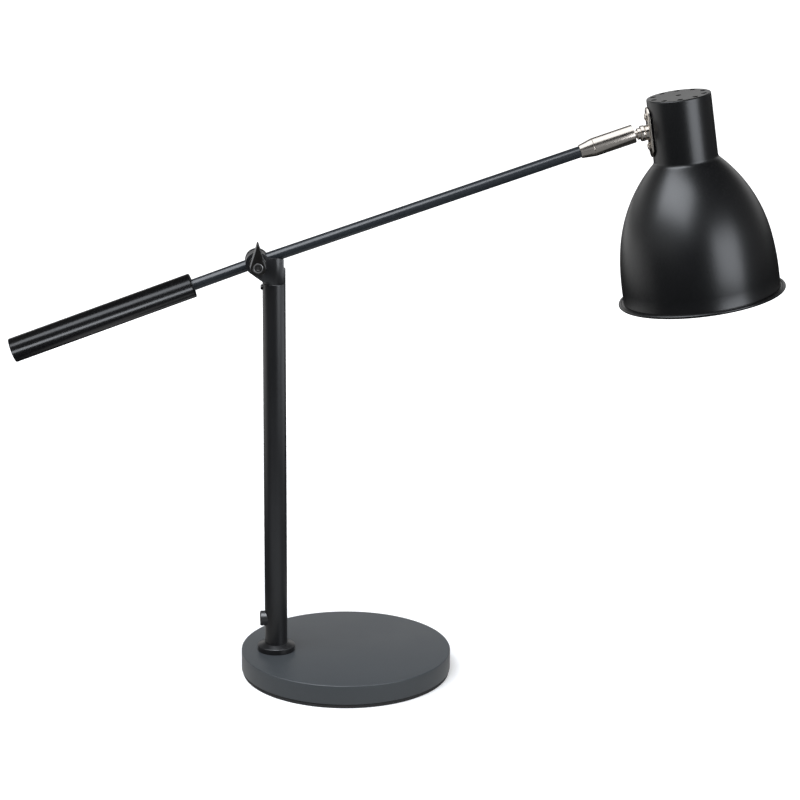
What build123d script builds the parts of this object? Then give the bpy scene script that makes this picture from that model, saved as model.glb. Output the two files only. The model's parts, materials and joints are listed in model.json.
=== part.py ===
"""Counterweight balance desk lamp, in millimetres.

The base stands on z = 0 with its centre at the origin, the arm points along +X, and the
whole lamp lies in the plane y = 0. Three frames carry the pieces: the post axis, the arm
pivot with the arm's own X axis along its front length, and the shade with its cap at the
origin and its mouth along -Z.
"""
import os
from math import asin, cos, degrees, radians, sin, sqrt

from build123d import *

# --- fits and clearances ------------------------------------------------------------------
RUN_FIT = 0.10          # radial gap of a pin or shaft that turns
LOOSE_FIT = 0.30        # gap of a drilled hole round a screw or nipple
FACE_GAP = 0.20         # gap between flat faces that slide past each other
TURN_GAP = 0.30         # gap between a flat and a curved face that turn past each other
THREAD_GAP = 0.02       # gap of two threads, or of a pushed-on sleeve
SPARE_THREAD = 0.7      # thread that shows past a nut

# --- base ---------------------------------------------------------------------------------
BASE_RADIUS = 89.0
BASE_HEIGHT = 20.0
BASE_EDGE = 1.3         # rounding of the cover's top edge
COVER_WALL = 1.2
PAD_INSET = 1.0         # pad's edge inside the cover's side
PAD_HEIGHT = 3.0
SHADOW_GROOVE = 0.6     # open line between the pad and the cover
WEIGHT_GAP = 0.4        # gap between the iron weight and the cover's side wall

# --- cord inlet in the base, on the side away from the front ------------------------------
INLET_HEIGHT = 10.6
INLET_BORE = 3.3
GROMMET_NECK = 4.6
GROMMET_FLANGE = 6.2
GROMMET_LIP = 1.4
CHANNEL_WIDTH = 9.0
CHANNEL_TOP = 15.0
CHANNEL_INSET = 27.0    # base's rear edge to where the channel turns towards the post

# --- post ---------------------------------------------------------------------------------
POST_INSET = 29.5       # base's edge to the post's axis
POST_RADIUS = 9.525
POST_WALL = 1.2
SEAM_HEIGHT = 339.8     # where the pivot head meets the post
FOOT_RADIUS = 15.85
FOOT_SIDE = 4.6         # height of the foot ring's upright side
FOOT_RISE = 1.8         # rise of its sloping top towards the post
FOOT_EDGE = 0.6
FOOT_GAP = 0.05         # gap between the ring's bore and the tube
PLUG_LENGTH = 18.0
NIPPLE_RADIUS = 5.0
NIPPLE_BORE = 3.2
NIPPLE_GRIP = 14.0      # thread length inside the plug
NUT_POCKET = 13.0
WASHER_RADIUS = 11.0
WASHER_THICK = 1.6
LOCK_WASHER_RADIUS = 8.4
LOCK_WASHER_THICK = 1.4
LOCK_SPLIT = 1.2        # width of the spring washer's slanted cut
LOCK_SPLIT_TURN = 25
NIPPLE_NUT_FLATS = 14.0
NIPPLE_NUT_THICK = 4.0
POCKET_DEPTH = 8.6

# --- push button in the post --------------------------------------------------------------
BUTTON_HEIGHT = 48.2
BUTTON_RADIUS = 6.4
BUTTON_PROUD = 4.1
BUTTON_EDGE = 1.2
BUTTON_TRAVEL = 2.2
BUTTON_DEPTH = 3.0      # how far the cap reaches inside the post's outer surface
BUTTON_CLEAR = 0.2
STEM_RADIUS = 3.0
STEM_LENGTH = 4.5
SWITCH_LENGTH = 18.0
WIRE_SLOT = 5.0

# --- pivot head ---------------------------------------------------------------------------
PIVOT_SETBACK = 13.7    # post axis to pivot axis
PIVOT_RISE = 17.5       # seam to pivot axis
LUG_RADIUS = 9.7
LUG_FOOT = 2.4          # the lug's lower line meets the post this far above the seam
CHEEK_HEIGHT = 21.8     # seam to the cheeks' top
CHEEK_DROP = 2.2        # fall of the cheeks' top edge towards the front
SLOT_WIDTH = 10.2
SLOT_HEIGHT = 11.7      # seam to the slot's floor
SLOT_BACK = 1.1         # the slot's rear wall, behind the post's outer line
HUB_GAP = 0.5           # gap round the hub disc in the slot
SPIGOT_RADIUS = 6.4
SPIGOT_LENGTH = 20.0
WIRE_BORE = 3.0
SET_SCREW_DROP = 3.7    # set screw's axis below the seam
SET_SCREW_RADIUS = 1.6
SET_SCREW_HEAD = 2.6
SET_SCREW_PROUD = 1.6
STOP_GROOVE_DEPTH = 1.3
STOP_GROOVE_HEIGHT = 4.0
STOP_RIB_ANGLE = 5.0    # the rib that ends the head's turn

# --- pivot bolt and clamp lever -----------------------------------------------------------
BOLT_RADIUS = 3.0
BOLT_HEAD_RADIUS = 6.2
BOLT_HEAD_THICK = 2.9
BOLT_NECK = 3.0         # length of the square neck in the rear lug
BOLT_POINT = 0.6
BOLT_RECESS = 0.5       # the bolt's end below the lever's face
BOLT_DIMPLE = 0.7
LEVER_WASHER_RADIUS = 7.0
LEVER_WASHER_THICK = 1.2
LEVER_BOSS_RADIUS = 5.6
LEVER_BOSS_LENGTH = 7.2
LEVER_RADIUS = 6.6
LEVER_THICK = 8.0
LEVER_REACH = 20.0      # pivot axis to the centre of the pointed tip
LEVER_TIP = 0.6
LEVER_BEVEL = 0.5
INSERT_RADIUS = 4.2
INSERT_EDGE = 0.5

# --- arm ----------------------------------------------------------------------------------
FRONT_RISE = 18.58      # degrees above the level, from the pivot to the shade
REAR_FALL = 19.74       # degrees below the level, from the pivot to the weight
ARM_RADIUS = 4.75
ARM_WALL = 1.2
HUB_RADIUS = 9.4
HUB_THICK = 8.4
HUB_COPE = 0.05         # gap between the hub's rim and the arm's hollowed end
FRICTION_THICK = 0.8
FRICTION_RADIUS = 9.0
THREAD_RADIUS = 3.4
THREAD_DEPTH = 4.8      # how far an arm's thread reaches into the hub
ARM_PLUG = 7.0
ARM_PLUG_BORE = 2.0
REAR_REACH = 55.8       # pivot axis to the counterweight's near end
WEIGHT_LENGTH = 157.2
WEIGHT_RADIUS = 10.2
WEIGHT_EDGE = 0.9
WEIGHT_THREAD_RADIUS = 3.9
WEIGHT_THREAD_LENGTH = 20.0

# --- ball joint ---------------------------------------------------------------------------
BALL_REACH = 318.7      # pivot axis to the ball's centre
TAPER_LENGTH = 11.5
TAPER_RADIUS = 5.65
BARREL_RADIUS = 7.7
BARREL_BACK = 28.7      # barrel's rear end behind the ball's centre
BARREL_MOUTH = 5.9      # barrel's end beyond the ball's centre
BARREL_EDGE = 0.6
BARREL_SEAM = 0.15      # open line between the taper collar and the barrel
STOP_WALL = 2.0         # barrel's inner wall, against which the arm tube ends
BALL_RADIUS = 6.2
LIP_RADIUS = 5.3        # opening of the lip that holds the ball
FLARE_RADIUS = 6.9
SEAT_DEPTH = 13.0       # seat's back behind the ball's centre
SEAT_EDGE = 3.0         # seat's front rim behind the ball's centre
SEAT_HOLE = 2.0
DISC_THICK = 0.6
DISC_RISE = 1.0
STUD_NECK = 3.2
STUD_STEP = 8.4         # ball centre to the stud's wider part
STUD_WIDE = 4.75
STUD_SHANK = 3.0
STUD_BORE = 1.7
COLLAR_START = 11.2
COLLAR_THICK = 3.3
COLLAR_RADIUS = 6.5
COLLAR_EDGE = 0.4

# --- shade --------------------------------------------------------------------------------
SHADE_TILT = 8.85       # degrees, mouth turned towards +X
SHADE_WALL = 1.0
NECK_RADIUS = 26.5
SHADE_LENGTH = 169.9
CAP_EDGE = 1.0
SHOULDER_FILLET = 5.0
UPPER_CURVE = 121.7
LOWER_CURVE = 207.3
MOUTH_RADIUS = 65.35
STRAIGHT = 14.2         # mouth's upright part below the lower curve
CURVE_SPAN = 33.7       # height of the lower curve
RIM_OVERHANG = 4.25     # rim's outer edge beyond the mouth
RIM_BEAD = 1.4
VENT_COUNT = 10
VENT_RADIUS = 2.4
VENT_CIRCLE = 21.4
VENT_TURN = 10.4        # degrees from the front to the ring's first vent

# --- shade mounting -----------------------------------------------------------------------
PLATE_DROP = 26.25      # cap to the stud's axis
PLATE_THICK = 1.5
PLATE_LENGTH = 41.5
PLATE_WIDTH = 17.0
STUD_REACH = 19.5       # ball centre to the plate's rear face
BOSS_RADIUS = 6.2
UPPER_SCREW = 12.9      # above the stud's axis
LOWER_SCREW = -11.5
SCREW_RADIUS = 1.9
SCREW_HEAD = 3.2
SCREW_DOME = 2.1
SCREW_SLOT = 0.9
SCREW_SLOT_DEPTH = 0.9
SCREW_NUT_FLATS = 7.0
SCREW_NUT_THICK = 3.0
STUD_NUT_FLATS = 10.0
STUD_NUT_THICK = 3.4

# --- lampholder ---------------------------------------------------------------------------
BRACKET_THICK = 1.4
BRACKET_WIDTH = 16.0
BRACKET_TOP = 5.6       # cap to the top of the bracket's tab
BRACKET_END = 42.0
BRACKET_GAP = 0.1
TAB_RADIUS = 10.0
HOLDER_NIPPLE = 4.8
HOLDER_NIPPLE_BORE = 3.4
HOLDER_NUT_FLATS = 14.0
HOLDER_NUT_THICK = 2.6
HOLDER_RADIUS = 17.0
HOLDER_LENGTH = 51.0
HOLDER_SHOULDER = 6.0
HOLDER_BOSS = 9.0
HOLDER_FLOOR = 22.0     # holder's top to the floor of its cavity
HOLDER_WEB = 4.0        # floor's thickness below the wire hole
SHELL_RADIUS = 13.2     # bore of the bulb's screw shell
SHELL_THICK = 0.4
SHELL_LENGTH = 25.0
SHELL_RIM = 1.0         # screw shell's end inside the holder's mouth
CONTACT_RADIUS = 4.0
CONTACT_THICK = 0.8
CONTACT_RISE = 1.6

# --- places worked out from the sizes above -----------------------------------------------
PAD_RADIUS = BASE_RADIUS - PAD_INSET
COVER_BOTTOM = PAD_HEIGHT + SHADOW_GROOVE
COVER_INSIDE = BASE_RADIUS - COVER_WALL
COVER_CEILING = BASE_HEIGHT - COVER_WALL
CHANNEL_REACH = BASE_RADIUS - CHANNEL_INSET
POST_X = POST_INSET - BASE_RADIUS
POST_INSIDE = POST_RADIUS - POST_WALL
POCKET_ROOF = PAD_HEIGHT + POCKET_DEPTH
NUT_BOTTOM = POCKET_ROOF - WASHER_THICK - LOCK_WASHER_THICK - NIPPLE_NUT_THICK
SET_SCREW_Z = SEAM_HEIGHT - SET_SCREW_DROP
BUSH_BOTTOM = SEAM_HEIGHT - SPIGOT_LENGTH
PIVOT_X = POST_X - PIVOT_SETBACK
PIVOT_Z = SEAM_HEIGHT + PIVOT_RISE
CHEEK_TOP = SEAM_HEIGHT + CHEEK_HEIGHT
SLOT_FLOOR = SEAM_HEIGHT + SLOT_HEIGHT
GROOVE_RADIUS = SPIGOT_RADIUS - STOP_GROOVE_DEPTH
SWITCH_FACE = POST_X - POST_RADIUS + BUTTON_DEPTH + BUTTON_TRAVEL + FACE_GAP
LEVER_BACK = -(POST_RADIUS + LEVER_WASHER_THICK + FACE_GAP)
LEVER_FRONT = LEVER_BACK - LEVER_BOSS_LENGTH - LEVER_THICK
TAPER_END = BALL_REACH - BARREL_BACK
TAPER_START = TAPER_END - TAPER_LENGTH
BARREL_END = BALL_REACH + BARREL_MOUTH
SEAT_BACK = BALL_REACH - SEAT_DEPTH
SPRING_START = SEAT_BACK - RUN_FIT - DISC_RISE - DISC_THICK
CAVITY_START = SPRING_START - RUN_FIT
TUBE_END = CAVITY_START - STOP_WALL
BORE_RADIUS = BALL_RADIUS + RUN_FIT
STUD_AXIS_X = -(NECK_RADIUS + STUD_REACH)     # ball centre in the shade's frame
CURVE_END = SHADE_LENGTH - STRAIGHT
RIM_RADIUS = MOUTH_RADIUS + RIM_OVERHANG
HOLDER_TOP = BRACKET_TOP + BRACKET_THICK
HOLDER_MOUTH = HOLDER_TOP + HOLDER_LENGTH
RIM_LEVEL = RIM_BEAD - SHADE_LENGTH          # middle of the rim, in the shade's frame
LEG_OUTSIDE = NECK_RADIUS - SHADE_WALL - BRACKET_GAP
LEG_INSIDE = LEG_OUTSIDE - BRACKET_THICK

ARM_FRAME = Location((PIVOT_X, 0, PIVOT_Z), (0, -FRONT_RISE, 0))
REAR_FRAME = Location((PIVOT_X, 0, PIVOT_Z), (0, -REAR_FALL, 0))
POST_FRAME = Location((POST_X, 0, 0))


def shade_frame():
    """The shade's frame, with its cap's centre where the stud and the neck put it."""
    ball = ARM_FRAME * Location((BALL_REACH, 0, 0))
    level = Location(ball.position, (0, -SHADE_TILT, 0))
    return level * Location((-STUD_AXIS_X, 0, PLATE_DROP))


SHADE_FRAME = shade_frame()
STUD_FRAME = SHADE_FRAME * Location((STUD_AXIS_X, 0, -PLATE_DROP))


# --- small helpers ------------------------------------------------------------------------
LOW = (Align.CENTER, Align.CENTER, Align.MIN)


def rod_z(radius, low, high):
    """A round bar along Z between two heights."""
    return Pos(0, 0, low) * Cylinder(radius, high - low, align=LOW)


def rod_x(radius, low, high):
    """A round bar along X between two places."""
    return Pos(low, 0, 0) * Rot(0, 90, 0) * Cylinder(radius, high - low, align=LOW)


def rod_y(radius, low, high):
    """A round bar along Y between two places."""
    return Pos(0, low, 0) * Rot(-90, 0, 0) * Cylinder(radius, high - low, align=LOW)


def ring_z(outer, inner, low, high):
    return rod_z(outer, low, high) - rod_z(inner, low, high)


def ring_x(outer, inner, low, high):
    return rod_x(outer, low, high) - rod_x(inner, low, high)


def hex_prism(flats, low, high):
    """A hexagon bar along Z, sized across its flats."""
    hexagon = RegularPolygon(flats / 2, 6, major_radius=False)
    return Pos(0, 0, low) * extrude(hexagon, high - low)


def turned_x(*points):
    """A turned piece about X, from (place, radius) points along its outline."""
    outline = Polyline(*[(x, 0, r) for x, r in points], close=True)
    return revolve(make_face(outline), Axis.X)


def turned_z(*points):
    """A turned piece about Z, from (radius, height) points along its outline."""
    outline = Polyline(*[(r, 0, z) for r, z in points], close=True)
    return revolve(make_face(outline), Axis.Z)


def edges_at_z(shape, z):
    """The edges of a shape that lie in one level plane."""
    return shape.edges().filter_by_position(Axis.Z, z - 0.01, z + 0.01)


# --- stand: base --------------------------------------------------------------------------
def grommet_place():
    """The inlet's axis, pointing out of the base's rear wall."""
    return Location((0, 0, INLET_HEIGHT))


def grommet_inner_face():
    """Where the grommet's inner lip meets the curved wall."""
    return sqrt(COVER_INSIDE**2 - GROMMET_FLANGE**2)


def base_cover():
    """Spun steel cover: a shallow dish upside down, with its top edge rounded."""
    outside = rod_z(BASE_RADIUS, COVER_BOTTOM, BASE_HEIGHT)
    outside = fillet(edges_at_z(outside, BASE_HEIGHT), BASE_EDGE)
    inside = rod_z(COVER_INSIDE, COVER_BOTTOM, COVER_CEILING)
    cover = outside - inside
    cover -= POST_FRAME * rod_z(NIPPLE_RADIUS + LOOSE_FIT, COVER_CEILING, BASE_HEIGHT)
    hole = grommet_place() * rod_y(GROMMET_NECK, COVER_INSIDE - 2, BASE_RADIUS + 2)
    return cover - hole


def channel_run(start, end):
    """One straight run of the cord channel in the weight's underside."""
    (x0, y0), (x1, y1) = start, end
    along = Vector(x1 - x0, y1 - y0)
    slot = SlotCenterToCenter(along.length, CHANNEL_WIDTH)
    middle = Location(((x0 + x1) / 2, (y0 + y1) / 2, PAD_HEIGHT))
    turned = middle * Rot(0, 0, Vector(1, 0).get_signed_angle(along))
    return turned * extrude(slot, CHANNEL_TOP - PAD_HEIGHT)


def base_weight():
    """Cast iron disc with the nut's pocket, the nipple's hole and the cord's channel."""
    radius = COVER_INSIDE - WEIGHT_GAP
    weight = rod_z(radius, PAD_HEIGHT, COVER_CEILING)
    weight -= POST_FRAME * rod_z(NUT_POCKET, PAD_HEIGHT, POCKET_ROOF)
    weight -= POST_FRAME * rod_z(NIPPLE_RADIUS + LOOSE_FIT, PAD_HEIGHT, COVER_CEILING)
    turn = (0, CHANNEL_REACH)
    weight -= channel_run(turn, (POST_X, 0))
    weight -= channel_run((0, radius + CHANNEL_WIDTH), turn)
    lip_end = grommet_inner_face() - GROMMET_LIP - LOOSE_FIT
    room = rod_y(GROMMET_FLANGE + LOOSE_FIT, lip_end, BASE_RADIUS)
    return weight - grommet_place() * room


def base_pad():
    """Foam disc that covers the underside and stands on the table."""
    return rod_z(PAD_RADIUS, 0, PAD_HEIGHT)


def cord_grommet():
    """Rubber bush in the rear wall, with a lip on each side of the wall."""
    low = grommet_inner_face() - GROMMET_LIP
    outer = rod_y(GROMMET_FLANGE, BASE_RADIUS, BASE_RADIUS + GROMMET_LIP)
    outer = fillet(outer.edges().sort_by(Axis.Y)[-1], GROMMET_LIP / 2)
    neck = rod_y(GROMMET_NECK, low, BASE_RADIUS + GROMMET_LIP / 2)
    inner = rod_y(GROMMET_FLANGE, low, grommet_inner_face())
    bore = rod_y(INLET_BORE, low, BASE_RADIUS + GROMMET_LIP)
    return grommet_place() * (outer + neck + inner - bore)


# --- stand: post --------------------------------------------------------------------------
def post_tube():
    """Steel tube with the button's hole and the set screw's hole on its rear side."""
    top = SEAM_HEIGHT - FACE_GAP
    tube = ring_z(POST_RADIUS, POST_INSIDE, BASE_HEIGHT, top)
    button_hole = rod_x(BUTTON_RADIUS + BUTTON_CLEAR, -2 * POST_RADIUS, 0)
    screw_hole = rod_x(SET_SCREW_RADIUS + RUN_FIT, -2 * POST_RADIUS, 0)
    tube -= Pos(0, 0, BUTTON_HEIGHT) * button_hole
    return POST_FRAME * (tube - Pos(0, 0, SET_SCREW_Z) * screw_hole)


def post_foot():
    """Turned ring round the post's foot, with an upright side and a sloping top."""
    bore = POST_RADIUS + FOOT_GAP
    side = BASE_HEIGHT + FOOT_SIDE
    ring = turned_z(
        (bore, BASE_HEIGHT),
        (FOOT_RADIUS, BASE_HEIGHT),
        (FOOT_RADIUS, side),
        (bore + FOOT_EDGE, side + FOOT_RISE),
        (bore, side + FOOT_RISE),
    )
    return POST_FRAME * fillet(edges_at_z(ring, side), FOOT_EDGE)


def post_plug():
    """Plug in the post's foot, tapped for the hollow nipple."""
    top = BASE_HEIGHT + PLUG_LENGTH
    plug = ring_z(POST_INSIDE, NIPPLE_RADIUS, BASE_HEIGHT, BASE_HEIGHT + NIPPLE_GRIP)
    plug += ring_z(POST_INSIDE, NIPPLE_BORE, BASE_HEIGHT + NIPPLE_GRIP, top)
    return POST_FRAME * plug


def post_nipple():
    """Hollow threaded nipple that ties the post, the cover and the weight together."""
    low, high = NUT_BOTTOM - SPARE_THREAD, BASE_HEIGHT + NIPPLE_GRIP
    return POST_FRAME * ring_z(NIPPLE_RADIUS, NIPPLE_BORE, low, high)


def nipple_washer():
    low = POCKET_ROOF - WASHER_THICK
    return POST_FRAME * ring_z(WASHER_RADIUS, NIPPLE_RADIUS + RUN_FIT, low, POCKET_ROOF)


def lock_washer():
    """Split spring washer under the nut."""
    high = POCKET_ROOF - WASHER_THICK
    low = high - LOCK_WASHER_THICK
    washer = ring_z(LOCK_WASHER_RADIUS, NIPPLE_RADIUS + RUN_FIT, low, high)
    split = Pos(LOCK_WASHER_RADIUS, 0, (low + high) / 2) * Rot(LOCK_SPLIT_TURN, 0, 0)
    cut = split * Box(LOCK_WASHER_RADIUS, LOCK_SPLIT, 3 * LOCK_WASHER_THICK)
    return POST_FRAME * (washer - cut)


def nipple_nut():
    low, high = NUT_BOTTOM, NUT_BOTTOM + NIPPLE_NUT_THICK
    return POST_FRAME * (hex_prism(NIPPLE_NUT_FLATS, low, high) - rod_z(NIPPLE_RADIUS, low, high))


def top_bush():
    """Bush in the post's top, bored for the head's spigot and tapped for the set screw."""
    bush = ring_z(POST_INSIDE, SPIGOT_RADIUS + RUN_FIT, BUSH_BOTTOM, SEAM_HEIGHT - FACE_GAP)
    tapped = rod_x(SET_SCREW_RADIUS, -POST_RADIUS, 0)
    return POST_FRAME * (bush - Pos(0, 0, SET_SCREW_Z) * tapped)


def set_screw():
    """Domed screw in the post's rear side, with its point in the spigot's groove."""
    point = -(GROOVE_RADIUS + LOOSE_FIT)
    head = turned_x(
        (-POST_RADIUS - SET_SCREW_PROUD, 0),
        (-POST_RADIUS - SET_SCREW_PROUD, 0.45 * SET_SCREW_HEAD),
        (-POST_RADIUS - 0.6 * SET_SCREW_PROUD, 0.85 * SET_SCREW_HEAD),
        (-POST_RADIUS, SET_SCREW_HEAD),
        (-POST_RADIUS, 0),
    )
    screw = head + rod_x(SET_SCREW_RADIUS, -POST_RADIUS, point)
    return POST_FRAME * Pos(0, 0, SET_SCREW_Z) * screw


def switch_body():
    """Switch block that fills the post, flat towards the button and open for the wires."""
    low = BUTTON_HEIGHT - SWITCH_LENGTH / 2
    body = rod_z(POST_INSIDE - RUN_FIT, low, low + SWITCH_LENGTH)
    face = SWITCH_FACE - POST_X
    ahead = Pos(face - POST_RADIUS, 0, BUTTON_HEIGHT)
    body -= ahead * Box(2 * POST_RADIUS, 3 * POST_RADIUS, 2 * SWITCH_LENGTH)
    wire_way = Pos(POST_INSIDE, 0, BUTTON_HEIGHT)
    body -= wire_way * Box(POST_INSIDE / 2, WIRE_SLOT, 2 * SWITCH_LENGTH)
    depth = STEM_LENGTH + BUTTON_TRAVEL
    stem_hole = rod_x(STEM_RADIUS + RUN_FIT, face - 1, face + depth)
    return POST_FRAME * (body - Pos(0, 0, BUTTON_HEIGHT) * stem_hole)


def switch_button():
    """Round push button through the post's wall, with the stem that works the switch."""
    outer = -POST_RADIUS - BUTTON_PROUD
    cap = rod_x(BUTTON_RADIUS, outer, -POST_RADIUS + BUTTON_DEPTH)
    cap = fillet(cap.edges().sort_by(Axis.X)[0], BUTTON_EDGE)
    stem_end = SWITCH_FACE - POST_X + STEM_LENGTH - FACE_GAP
    stem = rod_x(STEM_RADIUS, -POST_RADIUS, stem_end)
    return POST_FRAME * Pos(0, 0, BUTTON_HEIGHT) * (cap + stem)


# --- pivot head ---------------------------------------------------------------------------
def tangent_corner(corner):
    """The point where a line from a corner grazes the lug's round end, on its lower side."""
    away = Vector(corner[0] - PIVOT_X, corner[1] - PIVOT_Z)
    swing = degrees(asin(LUG_RADIUS / away.length)) - 90
    spoke = away.normalized().rotate(Axis.Z, swing) * LUG_RADIUS
    return PIVOT_X + spoke.X, PIVOT_Z + spoke.Y


def flat_profile(points):
    """A face in the plane y = 0 through (x, z) points."""
    return make_face(Polyline(*[(x, 0, z) for x, z in points], close=True))


def slab(face, half_width):
    """A face in the plane y = 0, thickened both ways."""
    return extrude(face, amount=half_width, dir=(0, 1, 0), both=True)


def lug():
    """The flat-sided lug that reaches back from the post's line to the pivot."""
    foot = (POST_X - POST_RADIUS, SEAM_HEIGHT + LUG_FOOT)
    web = flat_profile([
        (PIVOT_X, PIVOT_Z),
        tangent_corner(foot),
        foot,
        (POST_X, SEAM_HEIGHT + LUG_FOOT),
        (POST_X, CHEEK_TOP),
        (PIVOT_X, CHEEK_TOP),
    ])
    eye = Pos(PIVOT_X, 0, PIVOT_Z) * rod_y(LUG_RADIUS, -POST_RADIUS, POST_RADIUS)
    return slab(web, POST_RADIUS) + eye


def arm_slot():
    """The space in which the arm swings: open above, open to the rear, round at the hub."""
    rear = POST_X - POST_RADIUS - SLOT_BACK
    reach = 4 * POST_RADIUS
    swing = flat_profile([
        (rear, SEAM_HEIGHT - reach),
        (rear, SLOT_FLOOR),
        (POST_X + reach, SLOT_FLOOR),
        (POST_X + reach, CHEEK_TOP + reach),
        (PIVOT_X - reach, CHEEK_TOP + reach),
        (PIVOT_X - reach, SEAM_HEIGHT - reach),
    ])
    half = SLOT_WIDTH / 2
    return slab(swing, half) + Pos(PIVOT_X, 0, PIVOT_Z) * rod_y(HUB_RADIUS + HUB_GAP, -half, half)


def cheek_fall():
    """What the sloping top takes off the cheeks at the front."""
    start = POST_X + POST_RADIUS / 3
    end = POST_X + 2 * POST_RADIUS
    drop = CHEEK_DROP * (end - start) / (POST_X + POST_RADIUS - start)
    wedge = flat_profile([
        (start, CHEEK_TOP),
        (end, CHEEK_TOP - drop),
        (end, CHEEK_TOP + drop),
        (start, CHEEK_TOP + drop),
    ])
    return slab(wedge, 2 * POST_RADIUS)


def spigot():
    """The head's spigot, with the groove and the rib that stop its turn."""
    bottom = BUSH_BOTTOM
    pin = rod_z(SPIGOT_RADIUS, bottom, SEAM_HEIGHT)
    low = SET_SCREW_Z - STOP_GROOVE_HEIGHT / 2
    groove = ring_z(SPIGOT_RADIUS + 1, GROOVE_RADIUS, low, low + STOP_GROOVE_HEIGHT)
    rib = Pos(SPIGOT_RADIUS, 0, SET_SCREW_Z)
    width = 2 * SPIGOT_RADIUS * sin(radians(STOP_RIB_ANGLE / 2))
    return pin - (groove - rib * Box(SPIGOT_RADIUS, width, 2 * STOP_GROOVE_HEIGHT))


def pivot_head():
    """Cast head: post-sized below, forked above for the arm, with a wire way up its middle."""
    barrel = rod_z(POST_RADIUS, SEAM_HEIGHT, CHEEK_TOP)
    head = POST_FRAME * barrel + lug() - cheek_fall()
    head -= arm_slot()
    head += POST_FRAME * spigot()
    head -= POST_FRAME * rod_z(WIRE_BORE, BUSH_BOTTOM, CHEEK_TOP)
    pivot = Pos(PIVOT_X, 0, PIVOT_Z)
    head -= pivot * rod_y(BOLT_RADIUS + RUN_FIT, -2 * POST_RADIUS, POST_RADIUS)
    square = 2 * (BOLT_RADIUS + RUN_FIT)
    neck = Pos(0, POST_RADIUS - BOLT_NECK / 2, 0) * Box(square, BOLT_NECK, square)
    return head - pivot * neck


def pivot_bolt():
    """Round-headed bolt, held from turning by the square neck in the rear lug."""
    head = turned_x(
        (0, 0),
        (0, BOLT_HEAD_RADIUS),
        (0.45 * BOLT_HEAD_THICK, 0.88 * BOLT_HEAD_RADIUS),
        (0.82 * BOLT_HEAD_THICK, 0.58 * BOLT_HEAD_RADIUS),
        (BOLT_HEAD_THICK, 0.2 * BOLT_HEAD_RADIUS),
        (BOLT_HEAD_THICK, 0),
    )
    head = Pos(0, POST_RADIUS, 0) * Rot(0, 0, 90) * head
    square = 2 * BOLT_RADIUS
    neck = Pos(0, POST_RADIUS - BOLT_NECK / 2, 0) * Box(square, BOLT_NECK, square)
    end = LEVER_FRONT + BOLT_RECESS
    shank = rod_y(BOLT_RADIUS, end, POST_RADIUS)
    shank = chamfer(shank.edges().sort_by(Axis.Y)[0], BOLT_POINT)
    shank -= rod_y(BOLT_DIMPLE, end, end + BOLT_DIMPLE)
    return Pos(PIVOT_X, 0, PIVOT_Z) * (head + neck + shank)


def lever_washer():
    """Steel washer between the front cheek and the lever's boss."""
    face = -POST_RADIUS
    washer = rod_y(LEVER_WASHER_RADIUS, face - LEVER_WASHER_THICK, face)
    washer -= rod_y(BOLT_RADIUS + RUN_FIT, face - LEVER_WASHER_THICK, face)
    return Pos(PIVOT_X, 0, PIVOT_Z) * washer


# --- clamp lever --------------------------------------------------------------------------
def teardrop():
    """The lever's outline: a round end with straight sides that meet in a narrow tip."""
    lean = asin((LEVER_RADIUS - LEVER_TIP) / LEVER_REACH)
    sides = [
        (LEVER_RADIUS * cos(lean), LEVER_RADIUS * sin(lean)),
        (LEVER_TIP * cos(lean), LEVER_REACH + LEVER_TIP * sin(lean)),
        (-LEVER_TIP * cos(lean), LEVER_REACH + LEVER_TIP * sin(lean)),
        (-LEVER_RADIUS * cos(lean), LEVER_RADIUS * sin(lean)),
    ]
    body = make_face(Polyline(*sides, close=True))
    return body + Circle(LEVER_RADIUS) + Pos(0, LEVER_REACH) * Circle(LEVER_TIP)


def clamp_lever():
    """Moulded lever with a pointed wing, a bevelled face and a boss towards the head."""
    wing = extrude(teardrop(), LEVER_THICK)
    wing = chamfer(wing.edges().group_by(Axis.Z)[-1], LEVER_BEVEL)
    boss = rod_z(LEVER_BOSS_RADIUS, -LEVER_BOSS_LENGTH, 0)
    top = LEVER_THICK
    moulded = wing + boss
    moulded -= rod_z(INSERT_RADIUS, -LEVER_BOSS_LENGTH, top)
    place = Location((PIVOT_X, LEVER_BACK - LEVER_BOSS_LENGTH, PIVOT_Z), (90, 0, 0))
    return place * moulded


def lever_insert():
    """Plated bush in the lever, tapped for the bolt, its front edge rounded."""
    bush = rod_y(INSERT_RADIUS, LEVER_FRONT, LEVER_BACK)
    bush = fillet(bush.edges().sort_by(Axis.Y)[0], INSERT_EDGE)
    return Pos(PIVOT_X, 0, PIVOT_Z) * (bush - rod_y(BOLT_RADIUS + THREAD_GAP, LEVER_FRONT, LEVER_BACK))


# --- arm ----------------------------------------------------------------------------------
def arm_hub():
    """Disc on the pivot bolt, tapped on both sides for the two lengths of the arm."""
    half = HUB_THICK / 2
    disc = rod_y(HUB_RADIUS, -half, half)
    disc -= rod_y(BOLT_RADIUS + RUN_FIT, -half, half)
    socket = HUB_RADIUS - THREAD_DEPTH
    hub = ARM_FRAME * (disc - rod_x(THREAD_RADIUS, socket, 2 * HUB_RADIUS))
    return hub - REAR_FRAME * rod_x(THREAD_RADIUS, -2 * HUB_RADIUS, -socket)


def friction_washers():
    """Fibre washers on both sides of the hub, which hold the arm where it is put."""
    face = HUB_THICK / 2
    pair = []
    for low in (face, -face - FRICTION_THICK):
        washer = rod_y(FRICTION_RADIUS, low, low + FRICTION_THICK)
        washer -= rod_y(BOLT_RADIUS + RUN_FIT, low, low + FRICTION_THICK)
        pair.append(Pos(PIVOT_X, 0, PIVOT_Z) * washer)
    return Compound(children=pair)


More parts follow.
